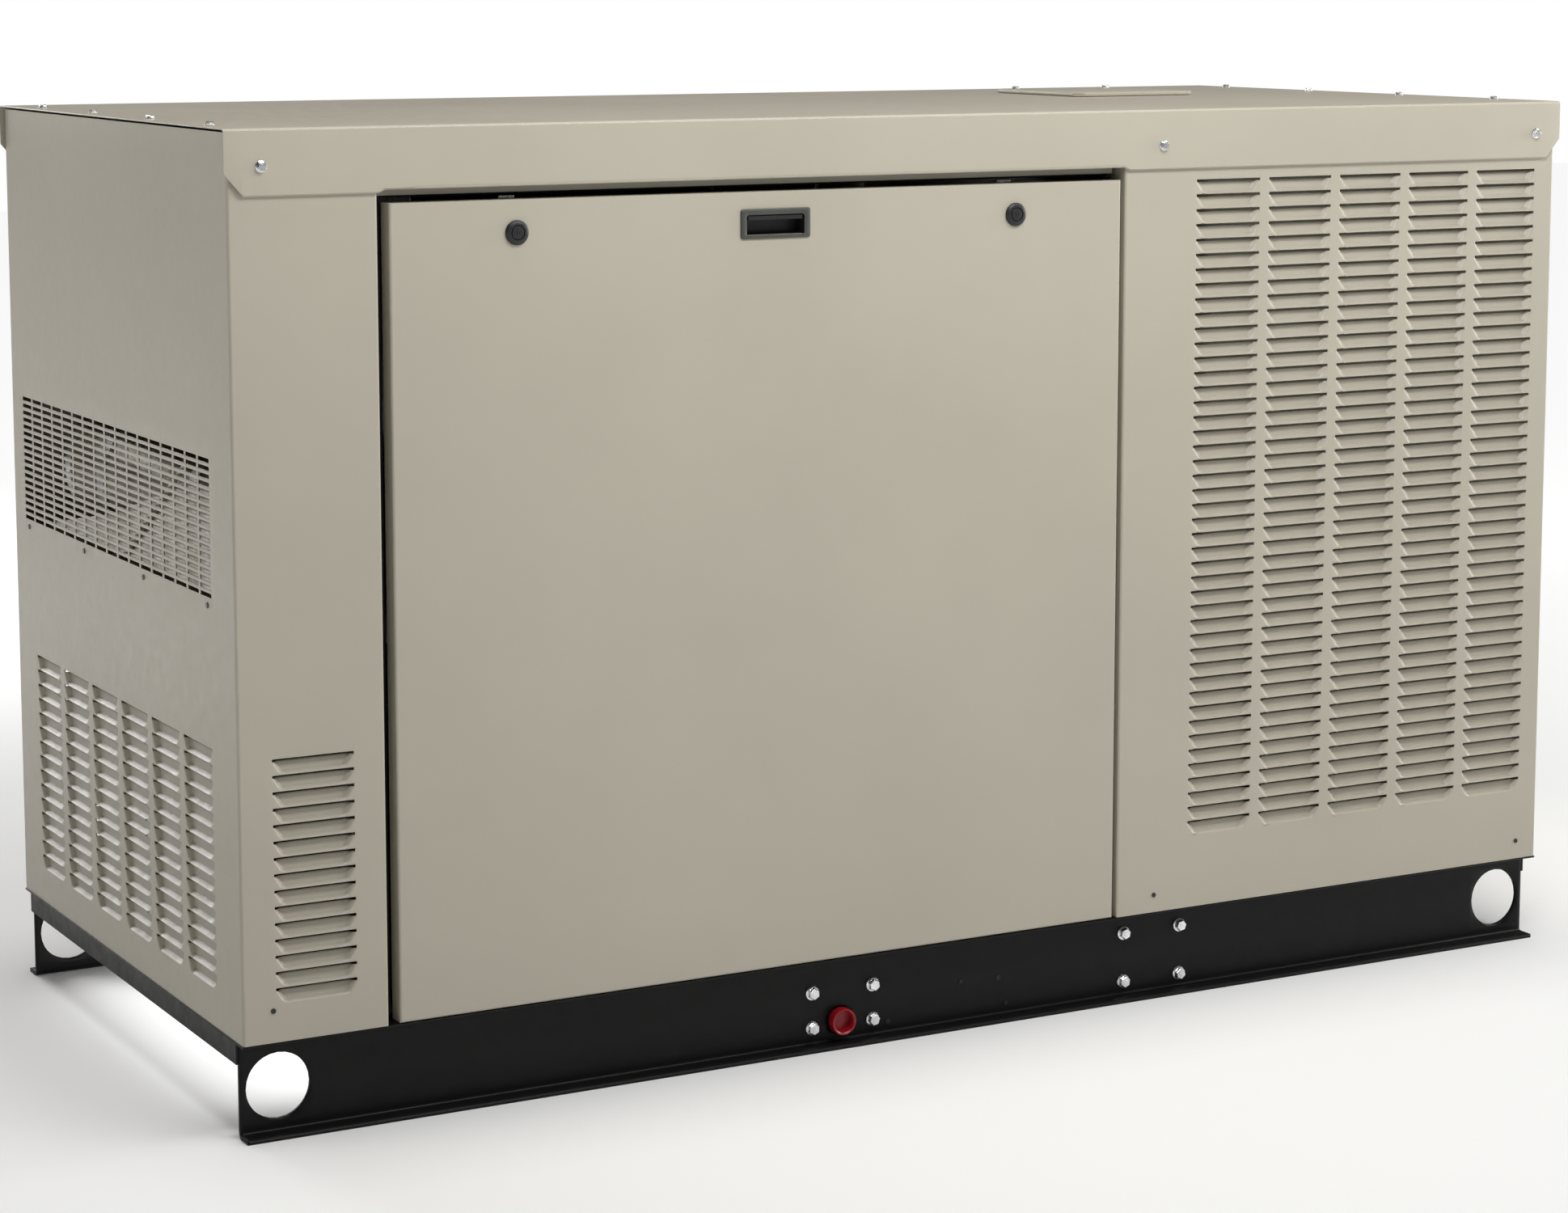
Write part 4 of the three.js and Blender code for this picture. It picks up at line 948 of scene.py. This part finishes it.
def inlet_plug():
    """The red plug: a deep cup with a rolled rim, pushed into the inlet."""
    at = (INLET["x"], FRONT * RAIL["web"], INLET["z"])
    plug = Shape()
    plug.lathe([(15.2, 7.6), (15.2, -0.4), (16.6, -0.6), (16.9, -1.6), (16.9, -11.4), (16.2, -12.8),
                (14.8, -13.0), (13.4, -11.8), (12.6, -1.5), (0.0, -1.0)], at, "y", 48)
    return plug.make("fuel_inlet_plug", "fuel_cap", red_plastic, ["fuel_inlet_cap"], smooth=40.0)


inlet_plug()
dress("roof_access_cover", beige, 2.2, 3)
dress("muffler_partition", galvanised, 0.6)
dress("radiator_bulkhead", beige, 0.6)

# ------------------------------------------------------------------ machinery carried over from the CAD

for shade, edges in (
    (cast_iron, {"engine_block": 3.5, "exhaust_manifold": 2.5, "alternator_frame": 2.5}),
    (cast_aluminium, {"cylinder_head": 3.0, "valve_cover": 5.0, "intake_manifold": 2.5,
                      "flywheel_housing": 3.0, "charging_alternator": 3.0, "fuel_regulator": 2.0}),
    (black_paint, {"oil_pan": 4.0, "starter_motor": 2.5, "crank_pulley": 1.0, "water_pump_pulley": 1.0,
                   "fuel_pipe": 0.0}),
    (black_plastic, {"oil_filler_cap": 1.5, "air_cleaner": 4.0, "cooling_fan": 0.8, "fan_shroud": 1.5,
                     "coolant_cap": 2.0, "controller": 4.0, "breaker_handle": 1.2, "battery": 4.0}),
    (rubber, {"drive_belt": 0.8, "upper_hose": 0.0, "lower_hose": 0.0}),
    (aluminised, {"muffler": 4.0, "exhaust_pipe": 0.0}), (yellow_enamel, {"oil_filter": 4.0}),
    (zinc, {"charging_pulley": 0.8}), (dark_steel, {"alternator_rotor": 1.0}), (fins, {"radiator": 2.0}),
    (milky, {"coolant_tank": 8.0}), (beige, {"junction_box": 2.0}),
    (red_plastic, {"emergency_stop_button": 2.0}),
):
    for name, bevel in edges.items():
        dress(name, shade, bevel)

# ------------------------------------------------------------------ detail round the machinery

METALS = (zinc, cast_iron, cast_aluminium, black_plastic, rubber, galvanised, yellow_enamel, copper,
          red_rubber, milky)
ZINC, IRON, ALUMINIUM, PLASTIC, RUBBER, GALVANISED, YELLOW, COPPER, RED, PAINTED_SHEEN_WHITE = range(10)


def clamp_band(shape, place, axis, radius, width=12.0):
    """A worm-drive hose clamp: a band with rolled edges and its screw housing."""
    half = width / 2
    profile = ((0.0, -half), (1.6, -half), (1.0, -half + 1.5), (1.0, half - 1.5), (1.6, half), (0.0, half))
    shape.lathe([(radius + out, along) for out, along in profile], place, axis, 36, ZINC)
    u, v, w = AXES[axis]
    centre = Vector(place) + (radius + 4.5) * v
    corner = 9.0 * u + 3.5 * v + (half - 1.0) * w
    shape.box(tuple(centre - corner), tuple(centre + corner), ZINC)


def circle(count, radius, phase=0.0):
    """Angles evenly round a circle, each with the point there."""
    for k in range(count):
        angle = 2 * math.pi * (k + phase) / count
        yield angle, radius * math.cos(angle), radius * math.sin(angle)


def fittings(shape, name, bevel):
    """Makes one piece of a group of small parts, which takes the common materials."""
    return shape.make(name, ROOT, METALS[0], extra=METALS[1:], bevel=bevel)


def engine_detail():
    """Cover bolts, core plugs, ribs, coils with their loom, dipstick and drain hose."""
    s = Shape()
    s.box((-252, -83, 670.3), (132, 83, 676.5), ALUMINIUM)  # foot of the valve cover
    for way in (FRONT, REAR):
        for x in spaced(-240, 120, 60):
            hex_screw(s, (x, way * 77.5, 676.3), "z", 1, 8.0, 14.0, ZINC)
    s.box((-243, -121, 249.5), (155, 121, 256.5), IRON)  # flange over the oil pan
    for way in (FRONT, REAR):
        for x in spaced(-232, 144, 47):
            hex_screw(s, (x, way * 115, 249.7), "z", -1, 8.0, 13.0, ZINC)
        for x in (-190, -90, 10, 108):
            core_plug = ((20, 0.0), (20, 2.5), (17.5, 2.5), (16.0, 0.6), (0, 0.6))
            s.lathe([(r, way * out) for r, out in core_plug], (x, way * 95, 470), "y", 32, ZINC)
        for x in (-240, -140, -40, 59, 132):
            rib = [(x - 4, 405), (x + 4, 405), (x + 4, 556), (x - 4, 556)]
            s.prism(rib, "y", way * 94, way * 101, IRON)
        s.box((-255, way * 94, 543), (143, way * 100, 558), IRON)  # deck of the block
        for x in spaced(-244, 132, 54):
            hex_screw(s, (x, way * 100, 550.5), "y", way, 8.0, 12.0, ZINC)
    for x in (-216, -120, -24, 72):  # one ignition coil over each cylinder
        s.rod(12.0, 734, 757, (x, 34, 0), "z", 24, PLASTIC, 1.0)
        s.box((x - 15, 20, 756), (x + 15, 54, 770), PLASTIC)
        s.box((x - 9, 54, 758), (x + 9, 66, 767), RUBBER)
        hex_screw(s, (x + 22, 36, 735), "z", 1, 7.0, 11.0, ZINC)
        s.pipe([(x, 62, 762), (x - 8, 70, 765), (x - 24, 76, 764)], 3.0, 10, 5, RUBBER)
    coil_loom = [(-262, 40, 700), (-250, 62, 742), (-232, 76, 762), (-120, 78, 765), (0, 77, 764),
                 (62, 76, 762)]
    s.pipe(coil_loom, 6.0, 14, 12, PLASTIC, ripple=lambda t: 1.0 + 0.12 * math.sin(t * 420))
    dipstick_tube = [(-160, -118, 300), (-166, -124, 420), (-178, -132, 560), (-196, -134, 690)]
    s.pipe(dipstick_tube, 4.0, 12, 8, ZINC)
    s.lathe([(6.0, 690), (6.5, 700), (5.0, 704)], (-196, -134, 0), "z", 16, YELLOW)
    pull_ring = ((-134, 702), (-122, 716), (-134, 730), (-146, 716), (-135, 703))
    s.pipe([(-196, y, z) for y, z in pull_ring], 2.2, 10, 8, YELLOW)
    for way in (FRONT, REAR):
        for x in (-172, -74, 24, 122):  # two screws to each port of the manifolds
            for z in (607, 635):
                hex_screw(s, (x, way * 102, z), "y", way, 8.0, 12.0, ZINC)
    for _, y, z in circle(10, 178):  # round the flywheel housing
        hex_screw(s, (-310, y, CRANK_Z + z), "x", 1, 9.5, 14.0, ZINC)
    drain_hose = [(60, -100, 190), (95, -150, 178), (120, -230, 160), (190, -330, 142)]
    s.pipe(drain_hose, 9.0, 16, 8, RUBBER)
    s.rod(11.0, -344, -326, (194, 0, 141), "y", 6, COPPER)
    return fittings(s, "engine_fittings", 0.5)


RIB_FACES = ((0, 1, 3, 2), (4, 6, 7, 5), (0, 4, 5, 1), (2, 3, 7, 6), (0, 2, 6, 4), (1, 5, 7, 3))


def alternator_detail():
    """Cooling ribs, end rings, dark bars that paint the shade of air slots, screws on the alternator, and the
    rubber mounts of the set.
    """
    s = Shape()
    ring = ALTERNATOR_RADIUS
    for angle, y, z in circle(44, 1.0):
        if not -0.55 <= z <= 0.96:  # no ribs over the feet or under the box
            continue
        out, across = Vector((0, y, z)), Vector((0, -z, y))
        verts = [tuple(Vector((x, 0, CRANK_Z)) + high * out + way * wide * across)
                 for x in (-585.0, -372.0) for high, wide in ((ring - 2, 3.2), (ring + 8, 2.0))
                 for way in (-1, 1)]
        s.add(verts, RIB_FACES, IRON)
    for x0, x1 in ((-690.5, -672.0), (-612.0, -596.0), (-352.0, -333.0)):
        profile = [(ring - 3, x0), (ring + 5, x0 + 1.5), (ring + 5, x1 - 1.5), (ring - 3, x1)]
        s.lathe(profile, (0, 0, CRANK_Z), "x", 72, IRON)
    # dark half-sunk bars round the frame: painted shade of the air slots, which are not cut
    for angle, y, z in circle(20, ring - 0.5, 0.5):
        if math.sin(angle) > -0.6:
            s.rod(7.0, -662.0, -622.0, (0, y, CRANK_Z + z), "x", 12, PLASTIC, 3.0)
    for _, y, z in circle(8, ring - 14, 0.5):
        hex_screw(s, (-690.5, y, CRANK_Z + z), "x", -1, 10.0, 15.0, ZINC)
    for way in (FRONT, REAR):  # a rubber mount under each foot of the alternator and of the engine
        s.rod(30.0, 115.5, 120.5, (-600, way * 165, 0), "z", 32, ZINC)
        block = [(27, 120), (30, 126), (24, 145), (29, 168), (27, 175)]
        s.lathe(block, (-600, way * 165, 0), "z", 32, RUBBER)
        hex_screw(s, (-600, way * 165, 220), "z", 1, 13.0, 24.0, ZINC, 9.0)
        s.box((45, way * 128, 115.5), (95, way * 186, 119.5), GALVANISED)
        s.prism([(50, 118), (90, 118), (84, 218), (56, 218)], "y", way * 132, way * 182, IRON)
        block = [(24, 217), (27, 223), (22, 243), (26, 264), (24, 270)]
        s.lathe(block, (70, way * 157, 0), "z", 32, RUBBER)
        hex_screw(s, (86, way * 166, 282), "z", 1, 13.0, 22.0, ZINC, 9.0)
    return fittings(s, "mounts_and_ribs", 0.6)


def hoses_and_wiring():
    """Hose clamps, gas hose, looms, battery leads, and the battery's lid and hold-down."""
    s = Shape()
    clamp_band(s, (262, 60, 848), "x", 20.6)
    clamp_band(s, (262, 250, 168), "x", 20.6)
    clamp_band(s, (161, 118, 504.5), "y", 20.6)
    gas_hose = [(-330, -292, 520), (-330, -296, 560), (-290, -280, 640), (-215, -250, 710),
                (-140, -215, 742), (-88, -172, 748)]
    s.pipe(gas_hose, 11.0, 18, 10, RUBBER)
    s.rod(14.0, 505, 524, (-330, -290, 0), "z", 6, COPPER)
    clamp_band(s, (-330, -293, 532), "z", 11.3, 9.0)
    engine_loom = [(-416, -110, 800), (-385, -118, 785), (-330, -116, 700), (-280, -112, 600),
                   (-180, -112, 572), (-20, -112, 570), (60, -128, 560), (88, -160, 545)]
    power_loom = [(-401, -150, 545), (-370, -190, 500), (-345, -235, 380), (-320, -262, 200),
                  (-250, -270, 135), (-100, -285, 128), (20, -300, 126)]
    for loom, radius in ((engine_loom, 9.0), (power_loom, 10.0)):
        s.pipe(loom, radius, 14, 12, PLASTIC, ripple=lambda t: 1.0 + 0.10 * math.sin(t * 560))
    s.rod(13.0, -402, -392, (0, -150, 545), "x", 6, ZINC)
    plus_lead = [(185, -225, 366), (150, -222, 396), (60, -226, 404), (-50, -226, 380), (-120, -214, 340),
                 (-140, -196, 334)]
    minus_lead = [(-10, -225, 366), (-40, -214, 384), (-74, -180, 360), (-88, -140, 318), (-90, -116, 306)]
    for lead, colour in ((plus_lead, RED), (minus_lead, RUBBER)):
        s.pipe(lead, 6.0, 14, 10, colour)
    for x, colour in ((185, RED), (-10, RUBBER)):
        s.lathe([(13, 353), (14, 356), (13, 366), (9, 371), (0, 372)], (x, -225, 0), "z", 24, colour)
    s.box((-44, -372, 330), (219, -191, BATTERY_TOP - 9), PLASTIC)
    s.box((-41.5, -369.5, BATTERY_TOP - 9), (216.5, -193.5, BATTERY_TOP), PLASTIC)
    for x in (5, 38, 71, 104, 137, 170):
        s.lathe([(13, 351), (13, 355), (11.5, 356.5), (0, 356.5)], (x, -292, 0), "z", 24, PLASTIC)
        s.box((x - 1.2, -301, 356.4), (x + 1.2, -283, 357.6), PLASTIC)
    s.box((78, -376, 351.3), (98, -187, 354.5), GALVANISED)  # hold-down bar with its two long bolts
    for y in (-374, -189):
        s.rod(3.5, 118, 366, (88, y, 0), "z", 12, ZINC)
        s.rod(8.0, 354.5, 361, (88, y, 0), "z", 6, ZINC)
    s.box((-52, -380, 115.5), (227, -183, 121.5), GALVANISED)  # tray
    return fittings(s, "hoses_and_wiring", 0.4)


def on_face(x, up, out):
    """A point on the controller's leaning face, from its foot."""
    return (x, -180.0 + 0.2346 * (up - 20) - 0.972 * out, 780.5 + 0.972 * (up - 20) + 0.2346 * out)


def face_box(shape, x0, x1, up0, up1, out, slot, inset=1.0):
    """A raised pad on the controller's face, smaller on top by inset on each side."""
    verts = []
    for less, depth in ((0.0, -1.0), (inset, out)):
        left, right, low, high = x0 + less, x1 - less, up0 + less, up1 - less
        corners = ((left, low), (right, low), (right, high), (left, high))
        verts += [on_face(x, up, depth) for x, up in corners]
    shape.add(verts, BOX_FACES, slot)


def control_detail():
    """The controller's face with blank display and keys, and the box's lid, breaker cover and glands."""
    grey, black, glass, green, amber, steel, yellow, beige_slot, red = range(9)
    s = Shape()
    face_box(s, -668, -422, 26, 162, 2.2, grey, 2.0)  # panel, then the display's frame and its glass
    face_box(s, -648, -528, 88, 148, 4.0, black, 2.5)
    face_box(s, -641, -535, 95, 141, 4.4, glass, 0.4)
    for column in range(4):
        face_box(s, -648 + column * 31, -624 + column * 31, 46, 66, 4.2, black, 1.6)
    for row in range(3):
        face_box(s, -500, -466, 44 + row * 34, 66 + row * 34, 4.2, black, 1.6)
    for row, lens in enumerate((green, amber, red)):
        centre = on_face(-444, 62 + row * 30, 2.0)
        s.lathe([(5.5, 0.5), (5.5, -2.0), (3.8, -4.2), (0, -4.8)], centre, "y", 24, lens)
    s.box((-686, -182.2, 522), (-404, -179.5, 754), beige_slot)  # lid of the connection box
    for x in (-676, -414):
        for z in (532, 638, 744):
            hex_screw(s, (x, -182, z), "y", FRONT, 7.0, 11.0, steel, 4.0)
    s.box((-661.5, -203.0, 558.5), (-558.5, -181.0, 701.5), black)
    for z0, z1 in ((566, 604), (656, 694)):
        s.box((-652, -204.5, z0), (-568, -202.8, z1), grey)
    s.box((-622, -204.8, 608), (-598, -202.8, 652), grey)
    stop_plate = [(31, -1.0), (31, -2.6), (29.5, -3.4), (12.5, -3.4), (12.5, -1.0)]
    s.lathe(stop_plate, (-465, -180.5, 700), "y", 48, yellow)
    for x, sides in ((-640, 6), (-580, 24), (-520, 24), (-460, 24)):
        s.lathe([(15, 0), (15, -3.5), (11, -3.5), (11, -8)], (x, -181.0, 536), "y", sides, steel)
    others = (black_plastic, screen_glass, green_lens, amber_lens, zinc, yellow_enamel, beige, red_plastic)
    return s.make("control_detail", ROOT, grey_plastic, extra=others, bevel=0.4)


def muffler_detail():
    """Straps and end beads on the muffler, and the rod that slants behind the grille, white: partly its own
    pale colour, partly a painted sheen for its bright metal.
    """
    s = Shape()
    mx, mz = MUFFLER
    for y in (-170, 150):
        s.lathe([(85.5, -14), (87.6, -13), (87.6, 13), (85.5, 14)], (mx, y, mz), "y", 64, GALVANISED)
        s.box((mx + 80, y - 14, mz - 8), (mx + 116, y + 14, mz + 8), GALVANISED)
        hex_screw(s, (mx, y, mz + 87.4), "z", 1, 10.0, 16.0, ZINC, 7.0)
    for way in (-1, 1):
        bead = [(86, way * 274), (90, way * 277), (90, way * 281), (86, way * 284), (78, way * 284)]
        s.lathe(bead, (mx, 0, mz), "y", 64, ZINC)
    # white plastic in place of silver metal: a pale colour that also paints in the rod's bright reflection
    s.pipe([(-929.3, -240, 757), (-929.3, -130, 691), (-929.3, -20, 624)], 3.2, 14, 8, PAINTED_SHEEN_WHITE)
    return fittings(s, "muffler_fittings", 0.4)


def exhaust_deflector():
    """A bright folded sheet behind the lower part of the discharge grille."""
    outline = [(-336, 612), (-336, 742), (-240, 736), (-100, 700), (40, 664), (180, 640), (300, 618),
               (300, 612)]
    s = Shape()
    s.prism(outline, "x", -925.5, -924.0)
    s.prism([(-336, 608.0), (300, 608.0), (300, 611.0), (-336, 611.0)], "x", -925.5, -890.0)
    return s.make("exhaust_deflector", ROOT, aluminised, bevel=0.3)


def filter_and_belt_detail():
    """Bands on the air cleaner, the shroud's screws, dark pegs that paint the shade of the charger's vents,
    and the regulator's cap.
    """
    s = Shape()
    cy, cz = CLEANER
    for x0, x1, grow in ((-199, -184, 3.0), (-96, -86, 3.5), (20, 27, 2.5), (74, 89, 3.0)):
        rim = [(83, x0), (85 + grow, x0 + 2), (85 + grow, x1 - 2), (83, x1)]
        s.lathe(rim, (0, cy, cz), "x", 64, PLASTIC)
    for _, y, z in circle(24, 85.5):
        s.rod(2.2, -180.0, -100.0, (0, cy + y, cz + z), "x", 10, PLASTIC)
    for angle in (0.6, 2.2, 3.9, 5.4):
        clip = (0, cy + 89.5 * math.cos(angle), cz + 89.5 * math.sin(angle))
        s.rod(2.6, -112.0, -72.0, clip, "x", 10, ZINC)
        s.rod(4.6, -108.0, -98.0, clip, "x", 10, ZINC)
    clamp_band(s, (-55, cy, cz - 78), "z", 31.2, 10.0)
    for y, z in ((-265, 240), (-265, 500), (-265, 770), (-148, 225), (148, 225), (-148, 785), (148, 785),
                 (265, 240), (265, 500), (265, 770)):
        hex_screw(s, (228, y, z), "x", -1, 8.0, 13.0, ZINC)
    gy, gz = CHARGER
    # a ring of dark pegs on the charger's end: painted shade of its vents, which are not cut
    for _, y, z in circle(30, 50):
        s.rod(2.4, 73.5, 76.0, (0, gy + y, gz + z), "x", 8, PLASTIC)
    for x0, x1 in ((74, 80), (112, 124), (154, 160)):
        s.lathe([(60, x0), (64, x0 + 1.5), (64, x1 - 1.5), (60, x1)], (0, gy, gz), "x", 48, ALUMINIUM)
    rx, rz = REGULATOR
    for _, x, z in circle(8, 53, 0.5):
        hex_screw(s, (rx + x, -306, rz + z), "y", -1, 7.0, 11.0, ZINC, 4.0)
    cap = [(44, -1), (44, -4), (40, -5.5), (20, -7.5), (18, -13), (0, -13)]
    s.lathe(cap, (rx, -305.5, rz), "y", 48, ALUMINIUM)
    s.lathe([(11, -12), (11, -19), (9, -21), (0, -21)], (rx, -305.5, rz), "y", 6, ZINC)
    return fittings(s, "filter_and_charger_fittings", 0.4)


engine_detail()
alternator_detail()
hoses_and_wiring()
control_detail()
muffler_detail()
exhaust_deflector()
filter_and_belt_detail()

# ------------------------------------------------------------------ stage, light and camera

CAMERA = {"azimuth": -28.71, "elevation": 7.43, "distance": 4.784, "target": (-0.0145, 0.0, 0.690),
          "lens": 82.7, "shift": -0.1}

LIGHTS = {  # each: place, target, width and height, watts, colour; metres
    "strip": ((0.1, -1.6, 2.35), (-0.05, -0.41, 0.98), (2.0, 0.5), 31, (1.0, 0.998, 0.995)),
    "side": ((3.9, -0.85, 1.5), (0.0, -0.42, 0.75), (1.0, 1.6), 64, (1.0, 0.997, 0.985)),
    "corner": ((2.6, -1.5, 1.9), (0.2, -0.42, 0.85), (0.7, 1.4), 9, (1.0, 0.99, 0.96)),
    "left": ((-2.4, 0.15, 2.1), (-0.93, -0.1, 0.95), (0.7, 0.7), 3.9, (1.0, 0.90, 0.74)),
    "rear": ((-1.25, 3.7, 1.9), (0.1, 0.4, 0.7), (1.8, 1.4), 52, (1.0, 1.0, 1.0)),
}
UNDER = ((-0.72, 0.0, 0.084), (-0.72, 0.0, 0.0), (0.36, 0.6), 1.3, (1.0, 1.0, 1.0))  # inside the skid
OVERHEAD = {"strength": 1.66, "spread": 25.0, "tilt": (0.0, 0.0, 0.0), "color": (1.0, 1.0, 1.0)}
FLOOR = {"side": 16.0, "near": 1.6, "far": 4.2, "glow": 0.52}
AMBIENT = 0.06
BACKDROP = 1.0


def stage():
    """A pale floor whose far part glows, painted light that grows with distance, so that it meets the backdrop
    without a line.
    """
    floor = Shade("studio_floor", (0.74, 0.74, 0.735), 0.8)
    place = floor.node("ShaderNodeNewGeometry")
    away = floor.node("ShaderNodeVectorMath", operation="LENGTH")
    floor.link(place.outputs["Position"], away.inputs[0])
    # emission that rises with distance: painted light on the far floor
    glow = floor.spread(away.outputs["Value"], FLOOR["near"], FLOOR["far"], 0.0, FLOOR["glow"])
    floor.bsdf.inputs["Emission Color"].default_value = (1.0, 1.0, 1.0, 1.0)
    floor.link(glow, floor.bsdf.inputs["Emission Strength"])
    side = FLOOR["side"]
    mesh = bpy.data.meshes.new("studio_floor")
    corners = [(-side, -side, 0), (side, -side, 0), (side, side, 0), (-side, side, 0)]
    mesh.from_pydata(corners, [], [(0, 1, 2, 3)])
    mesh.materials.append(floor.mat)
    obj = bpy.data.objects.new("studio_floor", mesh)
    bpy.context.scene.collection.objects.link(obj)


def area_light(name, place, target, size, power, color=(1, 1, 1)):
    light = bpy.data.lights.new(name, "AREA")
    light.shape = "RECTANGLE"
    light.size, light.size_y = size
    light.energy = power
    light.color = color
    obj = bpy.data.objects.new(name, light)
    obj.location = place
    obj.rotation_mode = "QUATERNION"
    obj.rotation_quaternion = (Vector(target) - Vector(place)).to_track_quat("-Z", "Y")
    bpy.context.scene.collection.objects.link(obj)


stage()
for name, (place, target, size, power, color) in LIGHTS.items():
    area_light(name, place, target, size, power, color)
area_light("under", *UNDER)
sun = bpy.data.lights.new("overhead", "SUN")
sun.energy, sun.angle, sun.color = OVERHEAD["strength"], math.radians(OVERHEAD["spread"]), OVERHEAD["color"]
sun_object = bpy.data.objects.new("overhead", sun)
sun_object.rotation_euler = [math.radians(v) for v in OVERHEAD["tilt"]]
bpy.context.scene.collection.objects.link(sun_object)

world = bpy.data.worlds.new("studio")
bpy.context.scene.world = world
world.use_nodes = True
background = world.node_tree.nodes["Background"]
background.inputs["Color"].default_value = (1.0, 1.0, 1.0, 1)
background.inputs["Strength"].default_value = AMBIENT
seen = world.node_tree.nodes.new("ShaderNodeBackground")
seen.inputs["Color"].default_value = (1.0, 1.0, 1.0, 1)
seen.inputs["Strength"].default_value = BACKDROP
chooser = world.node_tree.nodes.new("ShaderNodeMixShader")
path = world.node_tree.nodes.new("ShaderNodeLightPath")
output = world.node_tree.nodes["World Output"]
world.node_tree.links.new(path.outputs["Is Camera Ray"], chooser.inputs["Fac"])
world.node_tree.links.new(background.outputs["Background"], chooser.inputs[1])
world.node_tree.links.new(seen.outputs["Background"], chooser.inputs[2])
world.node_tree.links.new(chooser.outputs["Shader"], output.inputs["Surface"])
bpy.context.scene.view_settings.view_transform = "Standard"

camera = bpy.data.cameras.new("camera")
camera.lens = CAMERA["lens"]
camera.sensor_width = 36.0
camera.shift_y = CAMERA["shift"]
camera_object = bpy.data.objects.new("camera", camera)
bpy.context.scene.collection.objects.link(camera_object)
a, e = math.radians(CAMERA["azimuth"]), math.radians(CAMERA["elevation"])
back = Vector((math.sin(a) * math.cos(e), -math.cos(a) * math.cos(e), math.sin(e)))
camera_object.location = Vector(CAMERA["target"]) + CAMERA["distance"] * back
camera_object.rotation_mode = "QUATERNION"
camera_object.rotation_quaternion = (-back).to_track_quat("-Z", "Y")
bpy.context.scene.camera = camera_object
